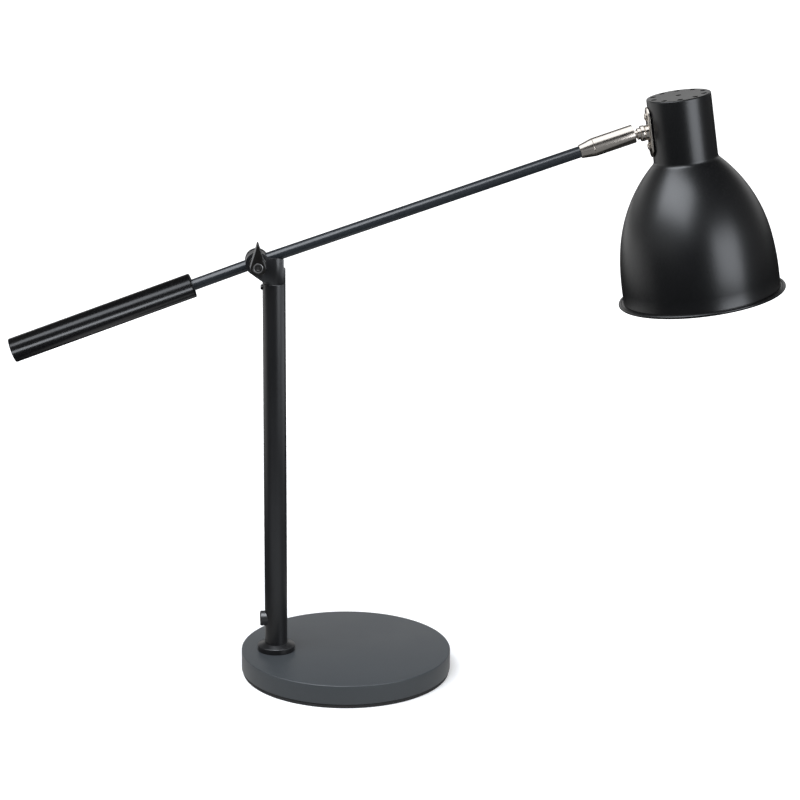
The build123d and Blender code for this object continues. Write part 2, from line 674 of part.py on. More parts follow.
def hub_cope():
    """The hub's rim, as the arms' ends are hollowed to meet it."""
    return rod_y(HUB_RADIUS + HUB_COPE, -2 * ARM_RADIUS, 2 * ARM_RADIUS)


def front_arm():
    """Tube from the hub to the ball joint, with a hollow threaded end for the hub."""
    root = HUB_RADIUS - THREAD_DEPTH + HUB_COPE
    tube = rod_x(ARM_RADIUS, 0, TUBE_END) - hub_cope()
    tube -= rod_x(ARM_RADIUS - ARM_WALL, HUB_RADIUS + ARM_PLUG, TUBE_END)
    thread = rod_x(THREAD_RADIUS, root, HUB_RADIUS + ARM_PLUG)
    return ARM_FRAME * (tube + thread - rod_x(ARM_PLUG_BORE, root, TUBE_END))


def rear_arm():
    """Solid rod from the hub to the counterweight, threaded at both ends."""
    root = HUB_RADIUS - THREAD_DEPTH + HUB_COPE
    rod = rod_x(ARM_RADIUS, -REAR_REACH, 0) - hub_cope()
    rod += rod_x(THREAD_RADIUS, -HUB_RADIUS - ARM_PLUG, -root)
    rod += rod_x(WEIGHT_THREAD_RADIUS, -REAR_REACH - WEIGHT_THREAD_LENGTH, -REAR_REACH)
    return REAR_FRAME * rod


def counterweight():
    """Steel bar with its near end tapped for the rear arm."""
    far = -REAR_REACH - WEIGHT_LENGTH
    bar = rod_x(WEIGHT_RADIUS, far, -REAR_REACH)
    ends = bar.edges().filter_by(GeomType.CIRCLE)
    bar = fillet(ends, WEIGHT_EDGE)
    tapped = WEIGHT_THREAD_LENGTH + FACE_GAP
    return REAR_FRAME * (bar - rod_x(WEIGHT_THREAD_RADIUS, -REAR_REACH - tapped, -REAR_REACH))


def nut_face(flats, gap):
    """How far from the ball's centre a nut can sit inside the curved bracket."""
    corner = flats / sqrt(3)
    return NECK_RADIUS + STUD_REACH - sqrt(LEG_INSIDE**2 - corner**2) + gap


# --- ball joint ---------------------------------------------------------------------------
def taper_collar():
    """Tapered collar on the arm tube, where the ball joint's barrel begins."""
    bore = ARM_RADIUS + THREAD_GAP
    collar = turned_x(
        (TAPER_START, bore),
        (TAPER_START, TAPER_RADIUS),
        (TAPER_END, BARREL_RADIUS),
        (TAPER_END, bore),
    )
    return ARM_FRAME * collar


def swivel_barrel():
    """Barrel that holds the ball: a stop for the tube, a bore, a lip and a flared mouth."""
    start = TAPER_END + BARREL_SEAM
    bore = ARM_RADIUS + THREAD_GAP
    wire = ARM_RADIUS - ARM_WALL
    lip_angle = asin(LIP_RADIUS / BORE_RADIUS)
    lip = (BALL_REACH + BORE_RADIUS * cos(lip_angle), LIP_RADIUS)
    half = (BALL_REACH + BORE_RADIUS * cos(lip_angle / 2 + radians(45)),
            BORE_RADIUS * sin(lip_angle / 2 + radians(45)))
    crown = (BALL_REACH, BORE_RADIUS)
    outline = Polyline(
        crown,
        (CAVITY_START, BORE_RADIUS),
        (CAVITY_START, wire),
        (TUBE_END, wire),
        (TUBE_END, bore),
        (start, bore),
        (start, BARREL_RADIUS),
        (BARREL_END - BARREL_EDGE, BARREL_RADIUS),
        (BARREL_END, BARREL_RADIUS - BARREL_EDGE / 2),
        (BARREL_END, FLARE_RADIUS),
        lip,
    )
    face = make_face(outline + ThreePointArc(lip, half, crown))
    return ARM_FRAME * revolve(Rot(90, 0, 0) * face, Axis.X)


def disc_spring():
    """Coned spring washer that presses the seat against the ball."""
    rim = BORE_RADIUS - RUN_FIT
    hole = SEAT_HOLE + 2 * DISC_THICK
    washer = turned_x(
        (SPRING_START, rim),
        (SPRING_START + DISC_THICK, rim),
        (SPRING_START + DISC_THICK + DISC_RISE, hole),
        (SPRING_START + DISC_RISE, hole),
    )
    return ARM_FRAME * washer


def ball_seat():
    """Nylon cup behind the ball, which turns with it in the barrel."""
    cup = ring_x(BORE_RADIUS - RUN_FIT, SEAT_HOLE, SEAT_BACK, BALL_REACH - SEAT_EDGE)
    return ARM_FRAME * (cup - Pos(BALL_REACH, 0, 0) * Sphere(BALL_RADIUS + RUN_FIT))


def ball_stud():
    """Hollow stud with a turned ball, a narrow neck, a wider land and a long threaded shank."""
    shank_end = nut_face(STUD_NUT_FLATS, TURN_GAP) + STUD_NUT_THICK + SPARE_THREAD
    stud = Sphere(BALL_RADIUS) + rod_x(STUD_NECK, 0, STUD_STEP)
    stud += rod_x(STUD_WIDE, STUD_STEP, COLLAR_START)
    stud += rod_x(STUD_SHANK, COLLAR_START, shank_end)
    return STUD_FRAME * (stud - rod_x(STUD_BORE, -BALL_RADIUS, shank_end))


def stud_collar():
    """Round locking collar on the stud, against the mounting plate's boss."""
    end = COLLAR_START + COLLAR_THICK
    collar = rod_x(COLLAR_RADIUS, COLLAR_START, end)
    collar = chamfer(collar.edges().filter_by(GeomType.CIRCLE), COLLAR_EDGE)
    return STUD_FRAME * (collar - rod_x(STUD_SHANK, COLLAR_START, end))


def stud_nut():
    """Nut inside the shade that keeps the stud in its boss."""
    start = nut_face(STUD_NUT_FLATS, TURN_GAP)
    nut = Rot(0, 90, 0) * hex_prism(STUD_NUT_FLATS, start, start + STUD_NUT_THICK)
    return STUD_FRAME * (nut - rod_x(STUD_SHANK, start, start + STUD_NUT_THICK))


# --- shade --------------------------------------------------------------------------------
def bell_outline(inset, bottom):
    """Half section of the bell, drawn parallel to its outer line by the inset.

    Two arcs make the flank. The lower one starts upright at the mouth, and the upper one
    carries on from it and ends on the neck.
    """
    turn = asin(CURVE_SPAN / LOWER_CURVE)
    lower = LOWER_CURVE - inset
    upper = UPPER_CURVE - inset
    low_centre = (MOUTH_RADIUS - LOWER_CURVE, -CURVE_END)
    top_centre = (
        low_centre[0] + (LOWER_CURVE - UPPER_CURVE) * cos(turn),
        low_centre[1] + (LOWER_CURVE - UPPER_CURVE) * sin(turn),
    )
    neck = NECK_RADIUS - inset
    lift = sqrt(upper**2 - (neck - top_centre[0])**2)
    join = (neck, top_centre[1] + lift)
    middle = (low_centre[0] + lower * cos(turn), low_centre[1] + lower * sin(turn))
    mouth = MOUTH_RADIUS - inset
    line = Polyline(
        (mouth, -CURVE_END),
        (mouth, bottom),
        (0, bottom),
        (0, -inset),
        (neck, -inset),
        join,
    )
    line += RadiusArc(join, middle, upper)
    line += RadiusArc(middle, (mouth, -CURVE_END), lower)
    return line, join


def bell(inset, bottom):
    """Solid bell of the outline, with the shoulder between neck and flank rounded."""
    line, join = bell_outline(inset, bottom)
    face = make_face(line)
    shoulder = face.vertices().sort_by_distance((join[0], join[1], 0))[0]
    face = fillet(shoulder, SHOULDER_FILLET + inset)
    if inset == 0:
        cap = face.vertices().sort_by_distance((NECK_RADIUS, 0, 0))[0]
        face = fillet(cap, CAP_EDGE)
    upright = Rot(90, 0, 0) * face
    return revolve(upright, Axis.Z)


def rolled_rim():
    """Flat flange round the mouth, ending in a rolled bead."""
    centre = RIM_RADIUS - RIM_BEAD
    half = SHADE_WALL / 2
    flange = ring_z(centre, MOUTH_RADIUS - SHADE_WALL, RIM_LEVEL - half, RIM_LEVEL + half)
    return flange + Pos(0, 0, RIM_LEVEL) * Torus(centre, RIM_BEAD)


def vents():
    """Vent holes in the cap: one in the middle, and a ring round it."""
    step = 360 / VENT_COUNT
    drill = rod_z(VENT_RADIUS, -2 * SHADE_WALL, SHADE_WALL)
    turns = [step * i + VENT_TURN for i in range(VENT_COUNT)]
    return [drill] + [Rot(0, 0, turn) * Pos(VENT_CIRCLE, 0, 0) * drill for turn in turns]


def wall_hole(radius, height):
    """A hole through the neck's wall on the side of the arm."""
    return Pos(0, 0, height) * rod_x(radius, -NECK_RADIUS - 1, -LEG_INSIDE + BRACKET_THICK / 2)


def shade_shell():
    """Spun bell with its vents, its rolled rim and the holes for the mounting."""
    shell = bell(0, RIM_LEVEL) - bell(SHADE_WALL, -SHADE_LENGTH) + rolled_rim()
    for vent in vents():
        shell -= vent
    shell -= wall_hole(STUD_SHANK + LOOSE_FIT, -PLATE_DROP)
    for place in (UPPER_SCREW, LOWER_SCREW):
        shell -= wall_hole(SCREW_RADIUS + RUN_FIT, place - PLATE_DROP)
    return SHADE_FRAME * shell


def mounting_plate():
    """Plated strap with rounded ends and the boss in which the stud turns."""
    plate = extrude(SlotOverall(PLATE_LENGTH, PLATE_WIDTH), PLATE_THICK)
    plate = Pos(STUD_REACH - PLATE_THICK, 0, 0) * Rot(0, 90, 0) * plate
    boss_start = COLLAR_START + COLLAR_THICK + FACE_GAP
    plate += rod_x(BOSS_RADIUS, boss_start, STUD_REACH - PLATE_THICK)
    plate -= rod_x(STUD_SHANK + RUN_FIT, boss_start, STUD_REACH)
    for place in (UPPER_SCREW, LOWER_SCREW):
        plate -= Pos(0, 0, place) * rod_x(SCREW_RADIUS + RUN_FIT, boss_start, STUD_REACH)
    return STUD_FRAME * plate


def plate_screw():
    """Pan-headed screw with a cross slot, drawn along X from the plate's face."""
    face = STUD_REACH - PLATE_THICK
    head = turned_x(
        (face - SCREW_DOME, 0),
        (face - SCREW_DOME, 0.45 * SCREW_HEAD),
        (face - 0.75 * SCREW_DOME, 0.8 * SCREW_HEAD),
        (face - 0.35 * SCREW_DOME, SCREW_HEAD),
        (face, SCREW_HEAD),
        (face, 0),
    )
    for turn in (0, 90):
        slot = Rot(turn, 0, 0) * Box(2 * SCREW_SLOT_DEPTH, 0.9 * SCREW_HEAD, SCREW_SLOT)
        head -= Pos(face - SCREW_DOME, 0, 0) * slot
    end = nut_face(SCREW_NUT_FLATS, THREAD_GAP) + SCREW_NUT_THICK + SPARE_THREAD
    return head + rod_x(SCREW_RADIUS, face, end)


def plate_screws():
    """The two screws that hold the plate, the shade and the bracket together."""
    pair = [STUD_FRAME * Pos(0, 0, z) * plate_screw() for z in (UPPER_SCREW, LOWER_SCREW)]
    return Compound(children=pair)


def screw_nuts():
    """The two nuts inside the bracket."""
    start = nut_face(SCREW_NUT_FLATS, THREAD_GAP)
    nut = Rot(0, 90, 0) * hex_prism(SCREW_NUT_FLATS, start, start + SCREW_NUT_THICK)
    nut -= rod_x(SCREW_RADIUS, start, start + SCREW_NUT_THICK)
    return Compound(children=[STUD_FRAME * Pos(0, 0, z) * nut for z in (UPPER_SCREW, LOWER_SCREW)])


# --- lampholder ---------------------------------------------------------------------------
def socket_bracket():
    """Strap bent down the neck's inside, with a tab across the axis for the lampholder."""
    leg = ring_z(LEG_OUTSIDE, LEG_INSIDE, -BRACKET_END, -BRACKET_TOP)
    keep = Pos(-LEG_OUTSIDE, 0, -BRACKET_END / 2)
    leg = leg & (keep * Box(LEG_OUTSIDE, BRACKET_WIDTH, 2 * BRACKET_END))
    strip = Pos(-LEG_OUTSIDE / 2, 0) * Rectangle(LEG_OUTSIDE, BRACKET_WIDTH)
    outline = (strip + Circle(TAB_RADIUS)) & Circle(LEG_OUTSIDE)
    tab = Pos(0, 0, -HOLDER_TOP) * extrude(outline, BRACKET_THICK)
    bracket = leg + tab - rod_z(HOLDER_NIPPLE + RUN_FIT, -HOLDER_TOP, -BRACKET_TOP)
    bracket -= Pos(0, 0, -PLATE_DROP) * rod_x(STUD_SHANK + LOOSE_FIT, -NECK_RADIUS, 0)
    for place in (UPPER_SCREW, LOWER_SCREW):
        bracket -= Pos(0, 0, place - PLATE_DROP) * rod_x(SCREW_RADIUS + RUN_FIT, -NECK_RADIUS, 0)
    return SHADE_FRAME * bracket


def holder_nipple():
    """Short hollow nipple through the bracket's tab into the lampholder."""
    top = -BRACKET_TOP + HOLDER_NUT_THICK + SPARE_THREAD
    bottom = -HOLDER_TOP - HOLDER_SHOULDER
    return SHADE_FRAME * ring_z(HOLDER_NIPPLE, HOLDER_NIPPLE_BORE, bottom, top)


def holder_nut():
    """Flat nut on the nipple, above the bracket's tab."""
    low, high = -BRACKET_TOP, -BRACKET_TOP + HOLDER_NUT_THICK
    return SHADE_FRAME * (hex_prism(HOLDER_NUT_FLATS, low, high) - rod_z(HOLDER_NIPPLE, low, high))


def lampholder():
    """Moulded lampholder: a shouldered body, tapped above and open below for the bulb."""
    floor = -HOLDER_TOP - HOLDER_FLOOR
    body = turned_z(
        (0, -HOLDER_TOP),
        (HOLDER_BOSS, -HOLDER_TOP),
        (HOLDER_RADIUS, -HOLDER_TOP - HOLDER_SHOULDER),
        (HOLDER_RADIUS, -HOLDER_MOUTH),
        (0, -HOLDER_MOUTH),
    )
    body -= rod_z(SHELL_RADIUS + SHELL_THICK, -HOLDER_MOUTH, floor)
    body -= rod_z(HOLDER_NIPPLE, -HOLDER_TOP - HOLDER_SHOULDER, -HOLDER_TOP)
    body -= rod_z(HOLDER_NIPPLE_BORE, floor + HOLDER_WEB, -HOLDER_TOP)
    return SHADE_FRAME * body


def screw_shell():
    """Brass sleeve that the bulb screws into."""
    low = -HOLDER_MOUTH + SHELL_RIM
    return SHADE_FRAME * ring_z(SHELL_RADIUS + SHELL_THICK, SHELL_RADIUS, low, low + SHELL_LENGTH)


def centre_contact():
    """Brass tongue on the holder's floor, raised in the middle."""
    floor = -HOLDER_TOP - HOLDER_FLOOR
    disc = rod_z(CONTACT_RADIUS, floor - CONTACT_THICK, floor)
    button = rod_z(CONTACT_RADIUS / 2, floor - CONTACT_THICK - CONTACT_RISE, floor)
    return SHADE_FRAME * (disc + button)


# --- every piece, one file each -----------------------------------------------------------
PIECES = [
    base_cover, base_weight, base_pad, cord_grommet,
    post_tube, post_foot, post_plug, post_nipple, nipple_washer, lock_washer, nipple_nut,
    top_bush, set_screw, switch_body, switch_button,
    pivot_head, pivot_bolt, lever_washer, clamp_lever, lever_insert,
    arm_hub, friction_washers, front_arm, rear_arm, counterweight,
    taper_collar, swivel_barrel, disc_spring, ball_seat, ball_stud, stud_collar, stud_nut,
    shade_shell, mounting_plate, plate_screws, screw_nuts,
    socket_bracket, holder_nipple, holder_nut, lampholder, screw_shell, centre_contact,
]

os.makedirs("parts", exist_ok=True)
for piece in PIECES:
    export_step(piece(), f"parts/{piece.__name__}.step")
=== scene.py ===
"""Looks of the counterweight balance desk lamp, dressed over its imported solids.

Sizes below are in millimetres, as on a drawing, and become metres where a mesh is made. The
lamp stands on z = 0 with its arm along +X, in the plane y = 0.
"""
import json
import math

import bmesh
import bpy
from mathutils import Matrix, Vector

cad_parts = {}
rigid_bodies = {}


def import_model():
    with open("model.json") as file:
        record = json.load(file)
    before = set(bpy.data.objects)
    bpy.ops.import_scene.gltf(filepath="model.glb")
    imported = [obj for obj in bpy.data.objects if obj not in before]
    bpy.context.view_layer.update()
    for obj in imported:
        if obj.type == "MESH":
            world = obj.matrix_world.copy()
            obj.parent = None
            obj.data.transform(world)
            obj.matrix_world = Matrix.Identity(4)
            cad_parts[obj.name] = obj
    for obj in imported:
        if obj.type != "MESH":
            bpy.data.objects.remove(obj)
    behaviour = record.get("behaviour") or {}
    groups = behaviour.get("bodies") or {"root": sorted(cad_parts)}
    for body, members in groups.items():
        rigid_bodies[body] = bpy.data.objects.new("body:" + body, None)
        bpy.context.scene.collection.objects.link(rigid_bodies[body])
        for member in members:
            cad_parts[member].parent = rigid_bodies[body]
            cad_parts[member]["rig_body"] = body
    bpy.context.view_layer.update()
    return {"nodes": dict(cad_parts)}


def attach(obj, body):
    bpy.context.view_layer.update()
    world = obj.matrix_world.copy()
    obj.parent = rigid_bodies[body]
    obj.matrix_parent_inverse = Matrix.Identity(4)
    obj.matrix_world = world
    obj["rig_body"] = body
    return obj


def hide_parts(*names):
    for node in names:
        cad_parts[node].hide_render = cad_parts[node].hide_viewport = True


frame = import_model()
MM = 0.001

# --- sizes that the dressing shares with the solids ---------------------------------------
BASE_RADIUS = 89.0
BASE_HEIGHT = 20.0
COVER_BOTTOM = 3.6
PAD_RADIUS = 88.0
PAD_HEIGHT = 3.0
INLET_HEIGHT = 10.6
INLET_BORE = 3.3
GROMMET_NECK = 4.6
GROMMET_FLANGE = 6.2
LIP_START = 85.68       # the grommet's inner lip, then its outer one, from the base's centre
LIP_END = 87.2
FLANGE_START = 88.9
FLANGE_END = 90.4

POST_X = -59.5
POST_RADIUS = 9.525
POST_INSIDE = 8.325
POST_TOP = 339.6
FOOT_BORE = 9.575
FOOT_RADIUS = 15.85
FOOT_SIDE = 24.6        # top of the ring's upright side
FOOT_TOP = 26.4
BUTTON_HEIGHT = 48.2
BUTTON_RADIUS = 6.4
BUTTON_FACE = -13.625
BUTTON_BACK = -6.525    # rear of the button's cap, where its stem begins
STEM_RADIUS = 3.0
STEM_END = 0.175
SET_SCREW_Z = 336.1
SET_SCREW_RADIUS = 1.6
SET_SCREW_FACE = -11.125
SOCKET_FLOOR = -10.1    # floor of the socket in the set screw's face
SET_SCREW_TIP = -5.4

PIVOT = (-73.2, 0.0, 357.3)
BOLT_RADIUS = 3.0
BOLT_HEAD = 6.2
BOLT_END = 12.4         # top of the bolt's round head
WASHER_FACE = -10.725
WASHER_RADIUS = 7.0
WASHER_BORE = 3.1
LEVER_BACK = -10.925
LEVER_BOSS = 7.2
LEVER_BOSS_RADIUS = 5.6
LEVER_THICK = 8.0
LEVER_FRONT = LEVER_BACK - LEVER_BOSS - LEVER_THICK
LEVER_RADIUS = 6.6
LEVER_REACH = 20.0      # pivot to the centre of the lever's tip
LEVER_TIP = 0.6
INSERT_RADIUS = 4.2

FRONT_RISE = 18.58
REAR_FALL = 19.74
ARM_RADIUS = 4.75
ARM_START = 8.0         # inside the hub's rim
ARM_END = 301.8
REAR_END = -57.0        # inside the counterweight
WEIGHT_START = -55.8
WEIGHT_END = -212.99
WEIGHT_RADIUS = 10.2

TAPER_START = 278.5
TAPER_END = 290.0
TAPER_RADIUS = 5.65
ARM_BORE = 4.77         # bore of the collar and the barrel, round the arm
BALL_REACH = 318.7
BALL_RADIUS = 6.2
BARREL_START = 290.15
BARREL_END = 324.6
BARREL_RADIUS = 7.7
STUD_NECK = 3.2
STUD_SHANK = 3.0
STUD_BORE = 1.7
COLLAR_START = 11.2
COLLAR_END = 14.5
COLLAR_RADIUS = 6.5

STUD_REACH = 19.5
PLATE_FACE = 18.0       # from the ball's centre, along the stud
PLATE_LENGTH = 41.5
PLATE_WIDTH = 17.0
PLATE_DROP = 26.25
BOSS_FACE = 14.7
BOSS_RADIUS = 6.2
BOSS_BORE = 3.1
UPPER_SCREW = 12.9
LOWER_SCREW = -11.5

SHADE_TILT = 8.85
SHADE_WALL = 1.0
SHADE_LENGTH = 169.9
NECK_RADIUS = 26.5
NECK_FILLET = 5.0
UPPER_CURVE = 121.7
LOWER_CURVE = 207.3
CURVE_SPAN = 33.7       # height of the lower curve
CURVE_END = -155.7      # where the mouth's upright part begins
MOUTH_RADIUS = 65.35
RIM_RADIUS = 69.6
RIM_BEAD = 1.4
CAP_FLAT = 24.6         # flat disc of the cap that carries the vents
VENT_COUNT = 10
VENT_RADIUS = 2.4
VENT_CIRCLE = 21.4
VENT_TURN = 10.4        # degrees to the first vent of the ring
HOLDER_RADIUS = 17.0
HOLDER_BORE = 13.6
HOLDER_BOSS = 9.0
HOLDER_TOP = -7.0       # these levels count from the cap down
HOLDER_SHOULDER = -13.0
HOLDER_ROOF = -25.0
HOLDER_FLOOR = -29.0
HOLDER_MOUTH = -58.0
NIPPLE_RADIUS = 4.8
WIRE_BORE = 3.4
SHELL_PITCH = 3.63

TURNED_STEPS = 96       # faces round a turned piece
BASE_STEPS = 192        # faces round the wide base
SHADE_STEPS = 160       # faces round the shade
SHARP = 35.0            # degrees at which an edge stays crisp


def place(point, rise=0.0):
    """Matrix from a local drawing in millimetres to the lamp, its X turned up by a rise."""
    where = Matrix.Translation(Vector(point) * MM)
    turn = Matrix.Rotation(-math.radians(rise), 4, "Y")
    return where @ turn @ Matrix.Scale(MM, 4)


BASE = place((0, 0, 0))
POST = place((POST_X, 0, 0))
BUTTON = place((POST_X, 0, BUTTON_HEIGHT))
SET_SCREW = place((POST_X, 0, SET_SCREW_Z))
INLET = place((0, 0, INLET_HEIGHT))
PIVOT_POINT = place(PIVOT)
ARM = place(PIVOT, FRONT_RISE)
REAR = place(PIVOT, REAR_FALL)
BALL = ARM @ Vector((BALL_REACH, 0, 0))
STUD = place(BALL / MM, SHADE_TILT)
SHADE = STUD @ Matrix.Translation((NECK_RADIUS + STUD_REACH, 0, PLATE_DROP))


# --- outlines ------------------------------------------------------------------------------
def rounded(points, steps=5):
    """An outline whose corners are rounded where a point carries a third value, the radius."""
    smooth = []
    count = len(points)
    for i, point in enumerate(points):
        corner = Vector(point[:2])
        radius = point[2] if len(point) > 2 else 0
        if not radius:
            smooth.append(tuple(corner))
            continue
        before = (Vector(points[i - 1][:2]) - corner).normalized()
        after = (Vector(points[(i + 1) % count][:2]) - corner).normalized()
        half = before.angle(after) / 2
        centre = corner + (before + after).normalized() * (radius / math.sin(half))
        start = corner + before * (radius / math.tan(half)) - centre
        end = corner + after * (radius / math.tan(half)) - centre
        sweep = start.angle_signed(end)
        for step in range(steps + 1):
            turn = Matrix.Rotation(-sweep * step / steps, 2)
            smooth.append(tuple(centre + turn @ start))
    return smooth


def arc(centre, radius, start, end, steps):
    """Points on an arc of the plane, from one angle to another in degrees."""
    angles = [math.radians(start + (end - start) * i / steps) for i in range(steps + 1)]
    return [(centre[0] + radius * math.cos(a), centre[1] + radius * math.sin(a)) for a in angles]


# --- meshes --------------------------------------------------------------------------------
def finish_mesh(mesh, sharp):
    """Smooth shading that stays crisp on edges sharper than the angle."""
    mesh.polygons.foreach_set("use_smooth", [True] * len(mesh.polygons))
    mesh.set_sharp_from_angle(angle=math.radians(sharp))
    mesh.update()


def loose_piece(name, mesh):
    """An object of its own in the scene."""
    piece = bpy.data.objects.new(name, mesh)
    bpy.context.scene.collection.objects.link(piece)
    return piece


def meshed_piece(name, bm):
    """An object from mesh code, which it uses up."""
    mesh = bpy.data.meshes.new(name)
    bm.to_mesh(mesh)
    bm.free()
    return loose_piece(name, mesh)


def drawn_piece(name, bm):
    """An object from mesh code, its points joined and its faces turned outwards."""
    bmesh.ops.remove_doubles(bm, verts=bm.verts, dist=1e-7)
    bmesh.ops.recalc_face_normals(bm, faces=bm.faces)
    return meshed_piece(name, bm)


def settle(piece):
    """Turns a piece with its modifiers into plain mesh."""
    bpy.context.view_layer.update()
    seen = piece.evaluated_get(bpy.context.evaluated_depsgraph_get())
    mesh = bpy.data.meshes.new_from_object(seen)
    piece.modifiers.clear()
    piece.data = mesh


def soften(piece, width):
    """Rounds a piece's crisp edges."""
    bevel = piece.modifiers.new("soft_edges", "BEVEL")
    bevel.width = width * MM
    bevel.segments = 2
    bevel.limit_method = "ANGLE"
    bevel.angle_limit = math.radians(SHARP)
    bevel.miter_outer = "MITER_ARC"
    settle(piece)


def cut_away(piece, *cutters):
    """Takes cutters out of a piece and deletes them."""
    for cutter in cutters:
        cut = piece.modifiers.new("cut", "BOOLEAN")
        cut.operation = "DIFFERENCE"
        cut.solver = "EXACT"
        cut.object = cutter
        settle(piece)
        bpy.data.objects.remove(cutter)


def hand_over(piece, material, body, solid, sharp=SHARP):
    """Gives a finished piece its shading, material and body, and hides the solid it is for."""
    finish_mesh(piece.data, sharp)
    piece.data.materials.clear()
    piece.data.materials.append(material)
    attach(piece, body)
    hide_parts(solid)


def stitch_rings(bm, rings):
    """Joins neighbouring rings of points with faces, the last ring to the first one too."""
    for i, ring in enumerate(rings):
        other = rings[(i + 1) % len(rings)]
        steps = max(len(ring), len(other))
        if steps == 1:
            continue
        for k in range(steps):
            n = (k + 1) % steps
            if len(ring) == 1:
                bm.faces.new((ring[0], other[k], other[n]))
            elif len(other) == 1:
                bm.faces.new((ring[k], other[0], ring[n]))
            else:
                bm.faces.new((ring[k], other[k], other[n], ring[n]))


def turned_form(bm, outline, matrix, axis, segments):
    """Adds a turned form to a mesh. The outline holds (along, radius) points and is closed."""
    rings = []
    for along, radius in outline:
        spots = []
        for i in range(segments if radius > 1e-6 else 1):
            a = 2 * math.pi * i / segments
            u, v = radius * math.cos(a), radius * math.sin(a)
            spots.append({"X": (along, u, v), "Y": (u, along, v), "Z": (u, v, along)}[axis])
        rings.append([bm.verts.new(matrix @ Vector(spot)) for spot in spots])
    stitch_rings(bm, rings)


def turned_piece(name, outline, matrix, axis="X", segments=TURNED_STEPS):
    """An object turned about an axis of its drawing."""
    bm = bmesh.new()
    turned_form(bm, outline, matrix, axis, segments)
    return drawn_piece(name, bm)


def layered_piece(name, layers, matrix):
    """A closed piece from loops of points with equal counts, each loop joined to the next."""
    bm = bmesh.new()
    rings = [[bm.verts.new(matrix @ Vector(spot)) for spot in layer] for layer in layers]
    stitch_rings(bm, rings)
    return drawn_piece(name, bm)


def cleaned_copy(node):
    """A copy of a solid with its loose triangles merged into whole faces."""
    bm = bmesh.new()
    bm.from_mesh(frame["nodes"][node].data)
    bmesh.ops.remove_doubles(bm, verts=bm.verts, dist=2e-6)
    bmesh.ops.dissolve_limit(
        bm, angle_limit=math.radians(1), verts=bm.verts, edges=bm.edges, delimit=set()
    )
    return meshed_piece(node + "_finished", bm)


# --- shader nodes --------------------------------------------------------------------------
def math_node(tree, operation, first, second=None):
    """A small sum in a node tree. Each value may be a number or another node's output."""
    node = tree.nodes.new("ShaderNodeMath")
    node.operation = operation
    for socket, value in zip(node.inputs, (first, second)):
        if isinstance(value, (int, float)):
            socket.default_value = value
        elif value is not None:
            tree.links.new(value, socket)
    return node.outputs["Value"]


def spread(tree, source, near, far, first=0.0, last=1.0, interpolation="LINEAR"):
    """A change from one level to another as a value goes from near to far."""
    node = tree.nodes.new("ShaderNodeMapRange")
    node.interpolation_type = interpolation
    for label, value in (("From Min", near), ("From Max", far), ("To Min", first), ("To Max", last)):
        node.inputs[label].default_value = value
    tree.links.new(source, node.inputs["Value"])
    return node.outputs["Result"]


def faded(tree, source, near, far, first, last):
    """A smooth change from one level to another as a value goes from near to far."""
    return spread(tree, source, near, far, first, last, "SMOOTHSTEP")


# --- shared surface effects ----------------------------------------------------------------
def effect_group(name, inputs, outputs):
    """An empty shader node group with named float inputs and float outputs."""
    tree = bpy.data.node_groups.new(name, "ShaderNodeTree")
    for label, value in inputs.items():
        socket = tree.interface.new_socket(label, in_out="INPUT", socket_type="NodeSocketFloat")
        socket.default_value = value
    for label in outputs:
        tree.interface.new_socket(label, in_out="OUTPUT", socket_type="NodeSocketFloat")
    return tree, tree.nodes.new("NodeGroupInput"), tree.nodes.new("NodeGroupOutput")


def noise_node(tree, given, size, detail, roughness=0.5):
    """Noise on the piece's own coordinates, at a size that a group input sets."""
    place_on = tree.nodes.new("ShaderNodeTexCoord")
    noise = tree.nodes.new("ShaderNodeTexNoise")
    noise.inputs["Detail"].default_value = detail
    noise.inputs["Roughness"].default_value = roughness
    tree.links.new(place_on.outputs["Object"], noise.inputs["Vector"])
    tree.links.new(given.outputs[size], noise.inputs["Scale"])
    return noise


def powder_grain():
    """Fine pebbled skin of a baked coat: a height, and a slow drift in its sheen."""
    tree, given, out = effect_group(
        "powder_grain", {"Pebble Size": 700.0, "Drift Size": 14.0}, ("Height", "Drift")
    )
    pebble = noise_node(tree, given, "Pebble Size", 3.0, 0.55)
    drift = noise_node(tree, given, "Drift Size", 2.0)
    tree.links.new(pebble.outputs["Fac"], out.inputs["Height"])
    tree.links.new(drift.outputs["Fac"], out.inputs["Drift"])
    return tree


def turning_marks():
    """Fine rings left by a lathe across a tilted X axis, with a slow blotch in the tone."""
    tree, given, out = effect_group(
        "turning_marks", {"Tilt": 0.0, "Pitch": 4000.0, "Blotch Size": 90.0}, ("Height", "Tone")
    )
    link = tree.links.new
    place_on = tree.nodes.new("ShaderNodeTexCoord")
    turn = tree.nodes.new("ShaderNodeVectorRotate")
    turn.rotation_type = "Y_AXIS"
    link(place_on.outputs["Object"], turn.inputs["Vector"])
    link(given.outputs["Tilt"], turn.inputs["Angle"])
    split = tree.nodes.new("ShaderNodeSeparateXYZ")
    link(turn.outputs["Vector"], split.inputs["Vector"])
    lines = tree.nodes.new("ShaderNodeTexNoise")
    lines.noise_dimensions = "1D"
    lines.inputs["Detail"].default_value = 4.0
    link(split.outputs["X"], lines.inputs["W"])
    link(given.outputs["Pitch"], lines.inputs["Scale"])
    blotch = noise_node(tree, given, "Blotch Size", 2.0)
    link(lines.outputs["Fac"], out.inputs["Height"])
    link(blotch.outputs["Fac"], out.inputs["Tone"])
    return tree


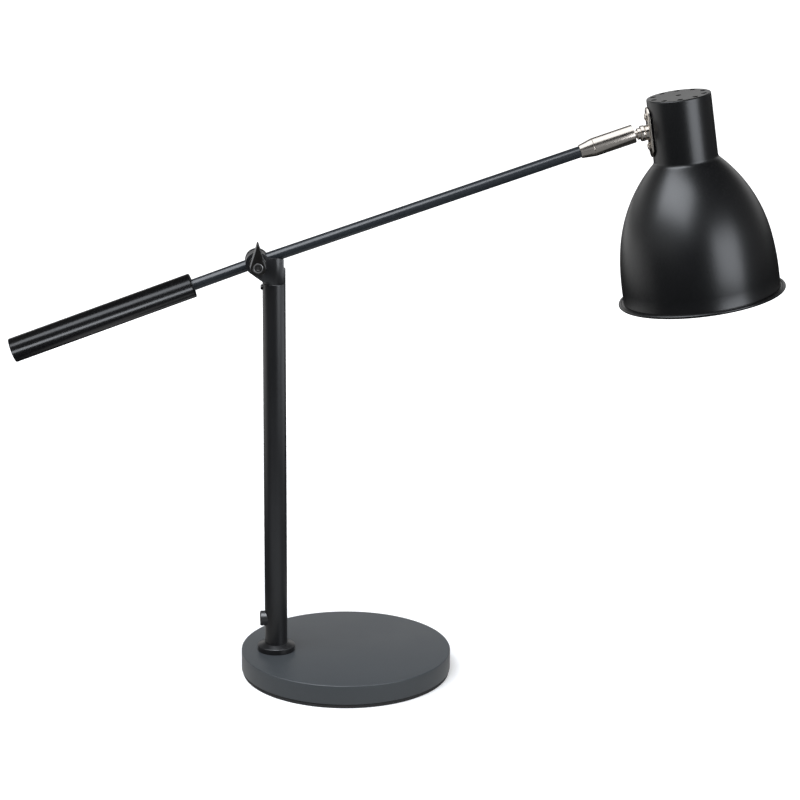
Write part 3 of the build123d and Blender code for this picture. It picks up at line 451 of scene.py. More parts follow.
def settled_dust():
    """A thin film of dust: a mask that is thickest on faces that look up."""
    tree, given, out = effect_group("settled_dust", {"Speck Size": 900.0, "Amount": 0.1}, ("Dust",))
    link = tree.links.new
    facing = tree.nodes.new("ShaderNodeNewGeometry")
    split = tree.nodes.new("ShaderNodeSeparateXYZ")
    link(facing.outputs["Normal"], split.inputs["Vector"])
    speck = noise_node(tree, given, "Speck Size", 2.0)
    grains = spread(tree, speck.outputs["Fac"], 0.5, 0.75)
    film = math_node(tree, "MULTIPLY", spread(tree, split.outputs["Z"], 0.3, 1.0), grains)
    link(math_node(tree, "MULTIPLY", film, given.outputs["Amount"]), out.inputs["Dust"])
    return tree


POWDER = powder_grain()
TURNING = turning_marks()
DUST = settled_dust()


# --- materials -----------------------------------------------------------------------------
def bare_material(name):
    """A new material with its node tree and its shader."""
    material = bpy.data.materials.new(name)
    material.use_nodes = True
    tree = material.node_tree
    return material, tree, tree.nodes["Principled BSDF"]


def placed_group(tree, effect, **values):
    """Puts a shared effect in a material with its own values, spaces as underscores."""
    node = tree.nodes.new("ShaderNodeGroup")
    node.node_tree = effect
    for label, value in values.items():
        node.inputs[label.replace("_", " ")].default_value = value
    return node


def ranged(tree, source, target, low, high):
    """Feeds a socket from noise, which stays near 0.3 to 0.7, spread between two levels."""
    tree.links.new(spread(tree, source, 0.3, 0.7, low, high), target)


def blended(tree, share, dark, light):
    """A colour between two, by a share. Either may be a colour or another node's output."""
    blend = tree.nodes.new("ShaderNodeMix")
    blend.data_type = "RGBA"
    for socket, tone in ((blend.inputs[6], dark), (blend.inputs[7], light)):
        if isinstance(tone, tuple):
            socket.default_value = (*tone, 1)
        else:
            tree.links.new(tone, socket)
    tree.links.new(share, blend.inputs[0])
    return blend.outputs[2]


def bumped(tree, height, shader, distance, strength):
    """Raises a shader's surface by a height, over a distance in millimetres."""
    bump = tree.nodes.new("ShaderNodeBump")
    bump.inputs["Distance"].default_value = distance * MM
    bump.inputs["Strength"].default_value = strength
    tree.links.new(height, bump.inputs["Height"])
    tree.links.new(bump.outputs["Normal"], shader.inputs["Normal"])


def coat(name, dark, light, smooth, rough, pebble=700.0, depth=0.02, strength=0.5):
    """Baked paint or moulded plastic: close tones, a drifting sheen and a fine pebbled skin."""
    material, tree, shader = bare_material(name)
    grain = placed_group(tree, POWDER, Pebble_Size=pebble)
    film = placed_group(tree, DUST, Amount=0.04)
    tone = blended(tree, grain.outputs["Drift"], dark, light)
    dusty = blended(tree, film.outputs["Dust"], tone, (0.32, 0.31, 0.30))
    tree.links.new(dusty, shader.inputs["Base Color"])
    ranged(tree, grain.outputs["Drift"], shader.inputs["Roughness"], smooth, rough)
    bumped(tree, grain.outputs["Height"], shader, depth, strength)
    return material


def metal(name, dark, light, smooth, rough, tilt=0.0, depth=0.001):
    """Plated or bare metal with the rings of its turning."""
    material, tree, shader = bare_material(name)
    shader.inputs["Metallic"].default_value = 1.0
    marks = placed_group(tree, TURNING, Tilt=math.radians(tilt))
    tree.links.new(blended(tree, marks.outputs["Tone"], dark, light), shader.inputs["Base Color"])
    ranged(tree, marks.outputs["Tone"], shader.inputs["Roughness"], smooth, rough)
    bumped(tree, marks.outputs["Height"], shader, depth, 0.35)
    return material


SATIN_BLACK = coat("satin_black_coat", (0.0028, 0.0029, 0.0032), (0.0040, 0.0041, 0.0045), 0.31, 0.36)
# The base's coat is a lighter, bluer copy of the satin black: painted light, for the brightness that its
# up-facing top catches.
BASE_BLACK_PAINTED_LIGHT = coat("base_black_coat_painted_light", (0.029, 0.033, 0.036), (0.034, 0.0385, 0.042),
                  0.38, 0.44, 520.0, 0.03, 0.6)
ARM_BLACK = coat("arm_black_coat", (0.011, 0.0135, 0.016), (0.015, 0.018, 0.021),
                 0.25, 0.30, 900.0, 0.01)
WEIGHT_BLACK = coat("weight_black_coat", (0.003, 0.003, 0.0033), (0.005, 0.005, 0.0055),
                    0.20, 0.25, 900.0, 0.008)
LEVER_BLACK = coat("lever_black_plastic", (0.005, 0.0045, 0.004), (0.008, 0.007, 0.006),
                   0.32, 0.38, 900.0, 0.01)
BUTTON_BLACK = coat("button_black_plastic", (0.010, 0.010, 0.0105), (0.013, 0.013, 0.0135),
                    0.30, 0.36, 900.0, 0.008)
HOLDER_BLACK = coat("holder_black_plastic", (0.012, 0.012, 0.012), (0.016, 0.016, 0.016),
                    0.24, 0.30, 900.0, 0.006)
PAD_BLACK = coat("pad_foam", (0.012, 0.012, 0.012), (0.020, 0.020, 0.020), 0.85, 0.95, 900.0, 0.08, 0.9)
RUBBER_BLACK = coat("grommet_rubber", (0.014, 0.014, 0.014), (0.020, 0.020, 0.020),
                    0.65, 0.75, 800.0, 0.02)
IRON_GREY = coat("raw_iron", (0.10, 0.10, 0.10), (0.16, 0.155, 0.15), 0.55, 0.7, 300.0, 0.1, 0.9)
NYLON = coat("seat_nylon", (0.68, 0.67, 0.63), (0.74, 0.73, 0.69), 0.4, 0.5, 900.0, 0.01)
FIBRE = coat("washer_fibre", (0.26, 0.06, 0.04), (0.32, 0.08, 0.05), 0.6, 0.7, 900.0, 0.03)
NICKEL = metal("bright_nickel", (0.68, 0.62, 0.55), (0.74, 0.68, 0.61), 0.20, 0.25, FRONT_RISE, 0.0003)
NICKEL_STUD = metal("bright_nickel_stud", (0.68, 0.62, 0.55), (0.74, 0.68, 0.61),
                    0.19, 0.24, SHADE_TILT, 0.0003)
# The lever's bush takes a darker copy of the bright nickel: painted shade, so that its face reads grey.
NICKEL_PAINTED_SHADE = metal("nickel_darkened_painted_shade", (0.36, 0.355, 0.35), (0.44, 0.435, 0.43), 0.28, 0.34)
DARK_STEEL = metal("dark_steel", (0.10, 0.098, 0.095), (0.15, 0.145, 0.14), 0.28, 0.36)
ZINC = metal("zinc_plated_steel", (0.55, 0.56, 0.58), (0.65, 0.65, 0.66), 0.3, 0.4)
BRASS = metal("plain_brass", (0.66, 0.47, 0.20), (0.74, 0.55, 0.26), 0.22, 0.3)


# --- shade ---------------------------------------------------------------------------------
def bell_line(inset):
    """The bell's flank from the neck down to the mouth: a fillet, then two arcs that meet."""
    turn = math.asin(CURVE_SPAN / LOWER_CURVE)
    low_centre = (CURVE_END, MOUTH_RADIUS - LOWER_CURVE)
    top_centre = (
        low_centre[0] + (LOWER_CURVE - UPPER_CURVE) * math.sin(turn),
        low_centre[1] + (LOWER_CURVE - UPPER_CURVE) * math.cos(turn),
    )
    fillet_radius = NECK_FILLET + inset
    fillet_level = NECK_RADIUS - inset + fillet_radius
    reach = UPPER_CURVE - inset + fillet_radius
    rise = math.sqrt(reach**2 - (fillet_level - top_centre[1]) ** 2)
    fillet_centre = (top_centre[0] + rise, fillet_level)
    bend = math.degrees(math.atan2(fillet_level - top_centre[1], rise))
    line = arc(fillet_centre, fillet_radius, 270, 180 + bend, 8)
    line += arc(top_centre, UPPER_CURVE - inset, bend, 90 - math.degrees(turn), 26)[1:]
    line += arc(low_centre, LOWER_CURVE - inset, 90 - math.degrees(turn), 90, 9)[1:]
    return line


def shade_outline():
    """Section of the shell outside its flat cap, from the cap round the rim to the inside."""
    level = RIM_BEAD - SHADE_LENGTH
    top = level + SHADE_WALL / 2
    bottom = level - SHADE_WALL / 2
    edge = rounded([(0, CAP_FLAT), (0, NECK_RADIUS, 1.0), (-20, NECK_RADIUS)], 7)[:-1]
    bend = [(top + 0.5, MOUTH_RADIUS), (top + 0.15, MOUTH_RADIUS + 0.1), (top, MOUTH_RADIUS + 0.45)]
    # the bead runs round from the flange's top face to its lower face, 21 degrees off each way
    roll = arc((level, RIM_RADIUS - RIM_BEAD), RIM_BEAD, 21 - 90, 270 - 21, 22)
    inner = MOUTH_RADIUS - SHADE_WALL
    under = [(bottom, inner + 0.5), (bottom + 0.25, inner + 0.1), (level + 0.4, inner)]
    under += list(reversed(bell_line(SHADE_WALL)))
    under += [(-SHADE_WALL, NECK_RADIUS - SHADE_WALL), (-SHADE_WALL, CAP_FLAT)]
    return edge + bell_line(0) + bend + roll + under


def vented_cap_tree():
    """Geometry nodes of the cap: a flat disc with a ring of holes and one in the middle."""
    tree = bpy.data.node_groups.new("vented_cap", "GeometryNodeTree")
    for label, kind, value in (
        ("Cap Radius", "NodeSocketFloat", CAP_FLAT),
        ("Thickness", "NodeSocketFloat", SHADE_WALL),
        ("Hole Radius", "NodeSocketFloat", VENT_RADIUS),
        ("Hole Circle", "NodeSocketFloat", VENT_CIRCLE),
        ("Hole Count", "NodeSocketInt", VENT_COUNT),
        ("First Hole", "NodeSocketFloat", math.radians(VENT_TURN)),
        ("Edge Steps", "NodeSocketInt", SHADE_STEPS),
    ):
        tree.interface.new_socket(label, in_out="INPUT", socket_type=kind).default_value = value
    tree.interface.new_socket("Finish", in_out="INPUT", socket_type="NodeSocketMaterial")
    tree.interface.new_socket("Geometry", in_out="OUTPUT", socket_type="NodeSocketGeometry")
    node, link = tree.nodes.new, tree.links.new
    given, out = node("NodeGroupInput"), node("NodeGroupOutput")
    edge, ring, hole = [node("GeometryNodeCurvePrimitiveCircle") for _ in range(3)]
    link(given.outputs["Edge Steps"], edge.inputs["Resolution"])
    link(given.outputs["Cap Radius"], edge.inputs["Radius"])
    link(given.outputs["Hole Count"], ring.inputs["Resolution"])
    link(given.outputs["Hole Circle"], ring.inputs["Radius"])
    hole.inputs["Resolution"].default_value = 28
    link(given.outputs["Hole Radius"], hole.inputs["Radius"])
    first = node("ShaderNodeCombineXYZ")
    link(given.outputs["First Hole"], first.inputs["Z"])
    turned = node("GeometryNodeTransform")
    link(first.outputs["Vector"], turned.inputs["Rotation"])
    link(ring.outputs["Curve"], turned.inputs["Geometry"])
    spread = node("GeometryNodeInstanceOnPoints")
    link(turned.outputs["Geometry"], spread.inputs["Points"])
    link(hole.outputs["Curve"], spread.inputs["Instance"])
    joined = node("GeometryNodeJoinGeometry")
    for source in (edge.outputs["Curve"], spread.outputs["Instances"], hole.outputs["Curve"]):
        link(source, joined.inputs["Geometry"])
    real = node("GeometryNodeRealizeInstances")
    link(joined.outputs["Geometry"], real.inputs["Geometry"])
    fill = node("GeometryNodeFillCurve")
    link(real.outputs["Geometry"], fill.inputs["Curve"])
    drop = node("ShaderNodeVectorMath")
    drop.operation = "SCALE"
    drop.inputs[0].default_value = (0, 0, -1)
    link(given.outputs["Thickness"], drop.inputs["Scale"])
    punch = node("GeometryNodeExtrudeMesh")
    punch.inputs["Individual"].default_value = False
    link(fill.outputs["Mesh"], punch.inputs["Mesh"])
    link(drop.outputs["Vector"], punch.inputs["Offset"])
    both = node("GeometryNodeJoinGeometry")
    link(punch.outputs["Mesh"], both.inputs["Geometry"])
    link(fill.outputs["Mesh"], both.inputs["Geometry"])
    finish = node("GeometryNodeSetMaterial")
    link(both.outputs["Geometry"], finish.inputs["Geometry"])
    link(given.outputs["Finish"], finish.inputs["Material"])
    link(finish.outputs["Geometry"], out.inputs["Geometry"])
    return tree


def grown(name, tree, values):
    """A plain piece grown by a geometry nodes tree from its named inputs."""
    piece = loose_piece(name, bpy.data.meshes.new(name))
    modifier = piece.modifiers.new(name, "NODES")
    modifier.node_group = tree
    for item in tree.interface.items_tree:
        if item.name in values:
            modifier[item.identifier] = values[item.name]
    settle(piece)
    return piece


def shade_bell():
    """The spun bell and its vented cap, welded into one closed shell."""
    cap = grown("cap_disc", vented_cap_tree(), {"Finish": SATIN_BLACK})
    bm = bmesh.new()
    bm.from_mesh(cap.data)
    bpy.data.objects.remove(cap)
    side = [f for f in bm.faces if all(v.co.xy.length > CAP_FLAT - 0.05 for v in f.verts)]
    bmesh.ops.delete(bm, geom=side, context="FACES")
    turned_form(bm, shade_outline(), Matrix.Identity(4), "Z", SHADE_STEPS)
    closing = [f for f in bm.faces if abs(f.normal.z) < 0.5
               and all(abs(v.co.xy.length - CAP_FLAT) < 0.01 for v in f.verts)]
    bmesh.ops.delete(bm, geom=closing, context="FACES")
    bmesh.ops.remove_doubles(bm, verts=bm.verts, dist=0.01)
    bm.transform(SHADE)
    return drawn_piece("shade_bell", bm)


# --- ball joint and shade mounting ------------------------------------------------------------
def barrel_outline():
    """Section of the ball joint's barrel: a bore, the lip round the ball and a flared mouth."""
    bore, lip, wire = 6.3, 5.3, 3.55
    stop, back = 301.9, 303.9       # the wall against which the arm ends
    lip_angle = math.degrees(math.asin(lip / bore))
    cup = arc((BALL_REACH, 0), bore, 90, lip_angle, 8)
    shell = rounded([
        (back, bore), (back, wire), (stop, wire), (stop, ARM_BORE), (BARREL_START, ARM_BORE),
        (BARREL_START, BARREL_RADIUS, 0.25), (BARREL_END, BARREL_RADIUS, 0.5), (BARREL_END, 6.9, 0.2),
    ])
    return shell + list(reversed(cup))


def stud_outline():
    """Section of the ball stud: the ball, its neck, a wider land and the threaded shank."""
    land, wide, end = 8.4, 4.75, 27.1
    start = 180 - math.degrees(math.asin(STUD_BORE / BALL_RADIUS))
    stop = math.degrees(math.asin(STUD_NECK / BALL_RADIUS))
    shank = rounded([
        (land, STUD_NECK, 0.3), (land, wide, 0.3), (COLLAR_START, wide), (COLLAR_START, STUD_SHANK),
        (end, STUD_SHANK, 0.4), (end, STUD_BORE),
    ])
    return arc((0, 0), BALL_RADIUS, start, stop, 28) + shank


def ring_layer(radius, level, count):
    """A loop of points round a hole or boss of a flat piece."""
    angles = [2 * math.pi * i / count for i in range(count)]
    return [(radius * math.cos(a), radius * math.sin(a), level) for a in angles]


def strap_layer(inset, level, count):
    """A loop round the mounting plate's outline, met by rays from its middle."""
    half = (PLATE_LENGTH - PLATE_WIDTH) / 2
    radius = PLATE_WIDTH / 2 - inset
    spots = []
    for i in range(count):
        a = 2 * math.pi * i / count
        c, s = math.cos(a), math.sin(a)
        reach = radius / abs(s) if abs(s) > 1e-6 else 1e6
        if abs(reach * c) > half:
            reach = half * abs(c) + math.sqrt(radius**2 - (half * s) ** 2)
        spots.append((reach * c, reach * s, level))
    return spots


def mounting_plate():
    """Plated strap with rounded edges and the boss in which the stud turns."""
    boss_rings = [
        (BOSS_BORE, BOSS_FACE), (BOSS_RADIUS - 0.3, BOSS_FACE), (BOSS_RADIUS, BOSS_FACE + 0.3),
        (BOSS_RADIUS, PLATE_FACE - 0.4), (BOSS_RADIUS + 0.15, PLATE_FACE - 0.1),
        (BOSS_RADIUS + 0.5, PLATE_FACE),
    ]
    strap_rings = [
        (0.45, PLATE_FACE), (0.13, PLATE_FACE + 0.13), (0.0, PLATE_FACE + 0.45),
        (0.0, STUD_REACH - 0.2), (0.2, STUD_REACH),
    ]
    layers = [ring_layer(radius, level, TURNED_STEPS) for radius, level in boss_rings]
    layers += [strap_layer(inset, level, TURNED_STEPS) for inset, level in strap_rings]
    layers.append(ring_layer(BOSS_BORE, STUD_REACH, TURNED_STEPS))
    # the drawing's plane stands across the stud, its long way up the neck
    across = Matrix(((0, 0, 1, 0), (0, 1, 0, 0), (1, 0, 0, 0), (0, 0, 0, 1)))
    return layered_piece("mounting_strap", layers, STUD @ across)


def screw_head():
    """Pan head with a cross recess, its face towards -X and its seat at the origin."""
    head, dome, slot = 3.2, 2.1, 0.9
    outline = rounded([
        (-dome, 0), (-dome, 0.62 * head, 1.3), (-0.55 * dome, head, 0.6), (0, head, 0.15), (0, 0),
    ])
    piece = turned_piece("screw_head", outline, Matrix.Identity(4), "X", 48)
    for across in ((0.9 * head, slot), (slot, 0.9 * head)):
        bm = bmesh.new()
        size = Matrix.Diagonal((1.8, *across, 1))
        bmesh.ops.create_cube(bm, size=1.0, matrix=Matrix.Translation((-dome, 0, 0)) @ size)
        cut_away(piece, drawn_piece("slot_cutter", bm))
    return piece


def screw_pair_tree():
    """Geometry nodes that put a screw at each of two places up a line."""
    tree = bpy.data.node_groups.new("screw_pair", "GeometryNodeTree")
    for label, kind in (
        ("Screw", "NodeSocketObject"), ("Upper", "NodeSocketVector"), ("Lower", "NodeSocketVector"),
        ("Finish", "NodeSocketMaterial"),
    ):
        tree.interface.new_socket(label, in_out="INPUT", socket_type=kind)
    tree.interface.new_socket("Geometry", in_out="OUTPUT", socket_type="NodeSocketGeometry")
    node, link = tree.nodes.new, tree.links.new
    given, out = node("NodeGroupInput"), node("NodeGroupOutput")
    line = node("GeometryNodeMeshLine")
    line.mode = "END_POINTS"
    line.inputs["Count"].default_value = 2
    link(given.outputs["Upper"], line.inputs["Start Location"])
    link(given.outputs["Lower"], line.inputs["Offset"])
    screw = node("GeometryNodeObjectInfo")
    link(given.outputs["Screw"], screw.inputs["Object"])
    spread = node("GeometryNodeInstanceOnPoints")
    link(line.outputs["Mesh"], spread.inputs["Points"])
    link(screw.outputs["Geometry"], spread.inputs["Instance"])
    real = node("GeometryNodeRealizeInstances")
    link(spread.outputs["Instances"], real.inputs["Geometry"])
    finish = node("GeometryNodeSetMaterial")
    link(real.outputs["Geometry"], finish.inputs["Geometry"])
    link(given.outputs["Finish"], finish.inputs["Material"])
    link(finish.outputs["Geometry"], out.inputs["Geometry"])
    return tree


def plate_screws():
    """The two screws of the mounting plate, each with its shank through the neck's wall."""
    screw = screw_head()
    bm = bmesh.new()
    bm.from_mesh(screw.data)
    shank = rounded([(0, 0), (0, 1.9), (12.0, 1.9, 0.3), (12.0, 0)])
    turned_form(bm, shank, Matrix.Identity(4), "X", 32)
    bm.to_mesh(screw.data)
    bm.free()
    values = {
        "Screw": screw, "Upper": (PLATE_FACE, 0, UPPER_SCREW), "Lower": (PLATE_FACE, 0, LOWER_SCREW),
        "Finish": NICKEL_STUD,
    }
    pair = grown("strap_screws", screw_pair_tree(), values)
    bpy.data.objects.remove(screw)
    pair.data.transform(STUD)
    return pair


def rolled_shell():
    """The lampholder's brass sleeve with its rolled thread, one wall of even thickness."""
    low, high, middle, depth, thick = -57.0, -32.0, 13.2, 0.24, 0.28
    count, steps = 72, 60

    def wave(level, a):
        """The thread's rise at a level and an angle, faded out at both ends."""
        fade = min(1.0, (level - low) / 2.0, (high - level) / 2.0)
        return depth * fade * math.cos(2 * math.pi * level / SHELL_PITCH - a)

    levels = [low + (high - low) * i / steps for i in range(steps + 1)]
    angles = [2 * math.pi * i / count for i in range(count)]
    layers = []
    for wall, side in ((middle + thick / 2, levels), (middle - thick / 2, levels[::-1])):
        for level in side:
            radii = [wall + wave(level, a) for a in angles]
            layers.append([(r * math.cos(a), r * math.sin(a), level) for r, a in zip(radii, angles)])
    return layered_piece("rolled_shell", layers, SHADE)


# --- clamp lever -----------------------------------------------------------------------------
def teardrop_layer(inset, level):
    """A loop round the lever's outline: a round end, straight sides and a narrow tip."""
    rows = 8
    lean = math.degrees(math.asin((LEVER_RADIUS - LEVER_TIP) / LEVER_REACH))
    loop = arc((0, 0), LEVER_RADIUS - inset, 180 - lean, 360 + lean, 56)
    point = arc((0, LEVER_REACH), max(LEVER_TIP - inset, 0.12), lean, 180 - lean, 8)
    side = [tuple(Vector(loop[-1]).lerp(Vector(point[0]), i / rows)) for i in range(1, rows)]
    back = [tuple(Vector(point[-1]).lerp(Vector(loop[0]), i / rows)) for i in range(1, rows)]
    return [(x, y, level) for x, y in loop + side + point + back]


def lever_ring(radius, level):
    """A loop round the lever's bore, its points in line with the outline's points."""
    spots = [Vector(spot[:2]).normalized() * radius for spot in teardrop_layer(0, 0)]
    return [(x, y, level) for x, y in spots]


def clamp_lever():
    """Moulded lever: a boss towards the head, then a pointed wing with a bevelled face."""
    boss, bore, top = LEVER_BOSS_RADIUS, INSERT_RADIUS, LEVER_THICK
    boss_rings = [
        (bore, -LEVER_BOSS), (boss - 0.3, -LEVER_BOSS), (boss, -LEVER_BOSS + 0.3), (boss, -0.3),
        (boss + 0.3, 0),
    ]
    wing = [(0.35, 0.02), (0.08, 0.12), (0.0, 0.4)]
    wing += [(0.0, top - 0.8), (0.1, top - 0.6), (0.6, top - 0.1), (0.8, top)]
    bore_rings = [(bore + 0.25, top), (bore + 0.05, top - 0.1), (bore, top - 0.4)]
    layers = [lever_ring(radius, level) for radius, level in boss_rings]
    layers += [teardrop_layer(inset, level) for inset, level in wing]
    layers += [lever_ring(radius, level) for radius, level in bore_rings]
    stand = Matrix.Translation((0, LEVER_BACK - LEVER_BOSS, 0)) @ Matrix.Rotation(math.pi / 2, 4, "X")
    return layered_piece("pointed_lever", layers, PIVOT_POINT @ stand)


# --- post ------------------------------------------------------------------------------------
def post_tube():
    """Post with the button's hole and the set screw's hole on its rear side."""
    outline = rounded([
        (BASE_HEIGHT, POST_INSIDE), (BASE_HEIGHT, POST_RADIUS),
        (POST_TOP, POST_RADIUS, 0.5), (POST_TOP, POST_INSIDE, 0.2),
    ])
    tube = turned_piece("post_sleeve", outline, POST, "Z", 128)
    for radius, matrix in ((BUTTON_RADIUS + 0.2, BUTTON), (SET_SCREW_RADIUS + 0.1, SET_SCREW)):
        outline = [(-2 * POST_RADIUS, 0), (-2 * POST_RADIUS, radius), (0, radius), (0, 0)]
        cut_away(tube, turned_piece("hole_cutter", outline, matrix, "X", 64))
    return tube


# --- every turned piece: name, solid, outline, frame, axis, material, body and slot --------------
# An outline holds (along, radius) points, with the corner's rounding where there is a third value.
TURNED = [
    ("base_dish", "base_cover",
     [(COVER_BOTTOM, 0), (COVER_BOTTOM, BASE_RADIUS, 0.3), (BASE_HEIGHT, BASE_RADIUS, 0.9),
      (BASE_HEIGHT, 0)],
     BASE, "Z", BASE_BLACK_PAINTED_LIGHT, "stand", "black_satin"),
    ("base_foam", "base_pad",
     [(0, 0), (0, PAD_RADIUS, 0.6), (PAD_HEIGHT, PAD_RADIUS, 0.4), (PAD_HEIGHT, 0)],
     BASE, "Z", PAD_BLACK, "stand", "foam"),
    ("foot_ring", "post_foot",
     [(BASE_HEIGHT, FOOT_BORE), (BASE_HEIGHT, FOOT_RADIUS, 0.15), (FOOT_SIDE, FOOT_RADIUS, 0.6),
      (FOOT_TOP, 10.2, 0.2), (FOOT_TOP, FOOT_BORE)],
     POST, "Z", SATIN_BLACK, "stand", "black_satin"),
    ("push_button", "switch_button",
     [(BUTTON_FACE, 0), (BUTTON_FACE, BUTTON_RADIUS, 1.3), (BUTTON_BACK, BUTTON_RADIUS),
      (BUTTON_BACK, STEM_RADIUS), (STEM_END, STEM_RADIUS), (STEM_END, 0)],
     BUTTON, "X", BUTTON_BLACK, "button", "black_plastic"),
    ("rear_set_screw", "set_screw",
     [(SOCKET_FLOOR, 0), (SOCKET_FLOOR, 0.9), (SET_SCREW_FACE, 0.9), (SET_SCREW_FACE, 1.9, 0.5),
      (-POST_RADIUS, 2.6, 0.2), (-POST_RADIUS, SET_SCREW_RADIUS),
      (SET_SCREW_TIP, SET_SCREW_RADIUS, 0.2), (SET_SCREW_TIP, 0)],
     SET_SCREW, "X", DARK_STEEL, "stand", "black_oxide"),
    ("cord_bush", "cord_grommet",
     [(LIP_START, INLET_BORE), (LIP_START, GROMMET_FLANGE, 0.4), (LIP_END, GROMMET_FLANGE),
      (LIP_END, GROMMET_NECK), (FLANGE_START, GROMMET_NECK), (FLANGE_START, GROMMET_FLANGE),
      (FLANGE_END, GROMMET_FLANGE, 0.7), (FLANGE_END, INLET_BORE, 0.5)],
     INLET, "Y", RUBBER_BLACK, "stand", "rubber"),
    ("cheek_washer", "lever_washer",
     [(WASHER_FACE, WASHER_BORE), (WASHER_FACE, WASHER_RADIUS, 0.25),
      (-POST_RADIUS, WASHER_RADIUS, 0.25), (-POST_RADIUS, WASHER_BORE)],
     PIVOT_POINT, "Y", DARK_STEEL, "head", "black_oxide"),
    ("round_head_bolt", "pivot_bolt",
     [(LEVER_FRONT + 1.2, 0), (LEVER_FRONT + 1.2, 1.3), (LEVER_FRONT + 0.5, 2.0),
      (LEVER_FRONT + 0.5, 2.4, 0.1), (LEVER_FRONT + 1.1, BOLT_RADIUS, 0.1), (POST_RADIUS, BOLT_RADIUS),
      (POST_RADIUS, BOLT_HEAD, 0.2), (10.6, 5.7, 0.6), (11.9, 3.6, 0.8), (BOLT_END, 0)],
     PIVOT_POINT, "Y", DARK_STEEL, "head", "black_oxide"),
    ("lever_bush", "lever_insert",
     [(LEVER_FRONT, 3.02, 0.25), (LEVER_FRONT, INSERT_RADIUS, 0.5), (LEVER_BACK, INSERT_RADIUS),
      (LEVER_BACK, 3.02)],
     PIVOT_POINT, "Y", NICKEL_PAINTED_SHADE, "lever", "nickel"),
    ("arm_rear", "rear_arm",
     [(REAR_END, 0), (REAR_END, ARM_RADIUS), (-ARM_START, ARM_RADIUS), (-ARM_START, 0)],
     REAR, "X", ARM_BLACK, "arm", "black_arm"),
    ("arm_front", "front_arm",
     [(ARM_START, 0), (ARM_START, ARM_RADIUS), (ARM_END, ARM_RADIUS), (ARM_END, 0)],
     ARM, "X", ARM_BLACK, "arm", "black_arm"),
    ("balance_bar", "counterweight",
     [(WEIGHT_END, 0), (WEIGHT_END, WEIGHT_RADIUS, 0.9), (WEIGHT_START, WEIGHT_RADIUS, 0.9),
      (WEIGHT_START, 4.85, 0.2), (-56.6, 4.7), (-56.6, 0)],
     REAR, "X", WEIGHT_BLACK, "arm", "black_gloss"),
    ("tapered_collar", "taper_collar",
     [(TAPER_START, ARM_BORE), (TAPER_START, TAPER_RADIUS, 0.25), (TAPER_END, BARREL_RADIUS, 0.3),
      (TAPER_END, ARM_BORE)],
     ARM, "X", NICKEL, "arm", "nickel"),
    ("locking_collar", "stud_collar",
     [(COLLAR_START, STUD_SHANK), (COLLAR_START, COLLAR_RADIUS, 0.45),
      (COLLAR_END, COLLAR_RADIUS, 0.45), (COLLAR_END, STUD_SHANK)],
     STUD, "X", NICKEL_STUD, "ball", "nickel"),
    ("holder_body", "lampholder",
     [(HOLDER_TOP, NIPPLE_RADIUS), (HOLDER_TOP, HOLDER_BOSS, 0.8), (HOLDER_SHOULDER, HOLDER_RADIUS, 2.5),
      (HOLDER_MOUTH, HOLDER_RADIUS, 0.8), (HOLDER_MOUTH, HOLDER_BORE, 0.4),
      (HOLDER_FLOOR, HOLDER_BORE, 0.5), (HOLDER_FLOOR, 0), (HOLDER_ROOF, 0), (HOLDER_ROOF, WIRE_BORE),
      (HOLDER_SHOULDER, WIRE_BORE), (HOLDER_SHOULDER, NIPPLE_RADIUS)],
     SHADE, "Z", HOLDER_BLACK, "shade", "holder_plastic"),
]
for name, solid, outline, matrix, axis, material, body, slot in TURNED:
    steps = BASE_STEPS if matrix is BASE else TURNED_STEPS
    piece = turned_piece(name, rounded(outline), matrix, axis, steps)
    hand_over(piece, material, body, solid)

hand_over(turned_piece("ball_barrel", barrel_outline(), ARM), NICKEL, "arm", "swivel_barrel")
hand_over(turned_piece("ball_and_stud", stud_outline(), STUD), NICKEL_STUD, "ball", "ball_stud")
hand_over(post_tube(), SATIN_BLACK, "stand", "post_tube")
hand_over(clamp_lever(), LEVER_BLACK, "lever", "clamp_lever")
hand_over(mounting_plate(), NICKEL_STUD, "shade", "mounting_plate")
hand_over(plate_screws(), NICKEL_STUD, "shade", "plate_screws")
hand_over(rolled_shell(), BRASS, "shade", "screw_shell", 60)
hand_over(shade_bell(), SATIN_BLACK, "shade", "shade_shell", 40)

# --- cleaned copies of the solids that keep their shape: solid, material, slot, rounding ----------
DRESSED = [
    ("pivot_head", SATIN_BLACK, "black_satin", 0.5),
    ("arm_hub", SATIN_BLACK, "zinc_steel", 0.4),
    ("socket_bracket", ZINC, "zinc_steel", 0.15),
    ("holder_nut", ZINC, "zinc_steel", 0.15),
    ("stud_nut", ZINC, "zinc_steel", 0.15),
    ("screw_nuts", ZINC, "zinc_steel", 0.15),
    ("centre_contact", BRASS, "brass", 0.15),
]
for solid, material, slot, width in DRESSED:
    piece = cleaned_copy(solid)
    soften(piece, width)
    hand_over(piece, material, frame["nodes"][solid]["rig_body"], solid)

# --- hidden solids that only take a material -----------------------------------------------------
FINISHES = {
    "base_weight": IRON_GREY, "post_plug": ZINC, "post_nipple": ZINC, "nipple_washer": ZINC,
    "lock_washer": ZINC, "nipple_nut": ZINC, "top_bush": BRASS, "switch_body": HOLDER_BLACK,
    "friction_washers": FIBRE, "disc_spring": ZINC, "ball_seat": NYLON, "holder_nipple": ZINC,
}
for solid, material in FINISHES.items():
    data = frame["nodes"][solid].data
    data.materials.clear()
    data.materials.append(material)


# --- floor, light and camera -------------------------------------------------------------------
def seen_in_gloss(tree, path):
    """1 for a reflected or transmitted ray, and 0 for every other ray."""
    return math_node(tree, "MAXIMUM", path.outputs["Is Glossy Ray"], path.outputs["Is Transmission Ray"])


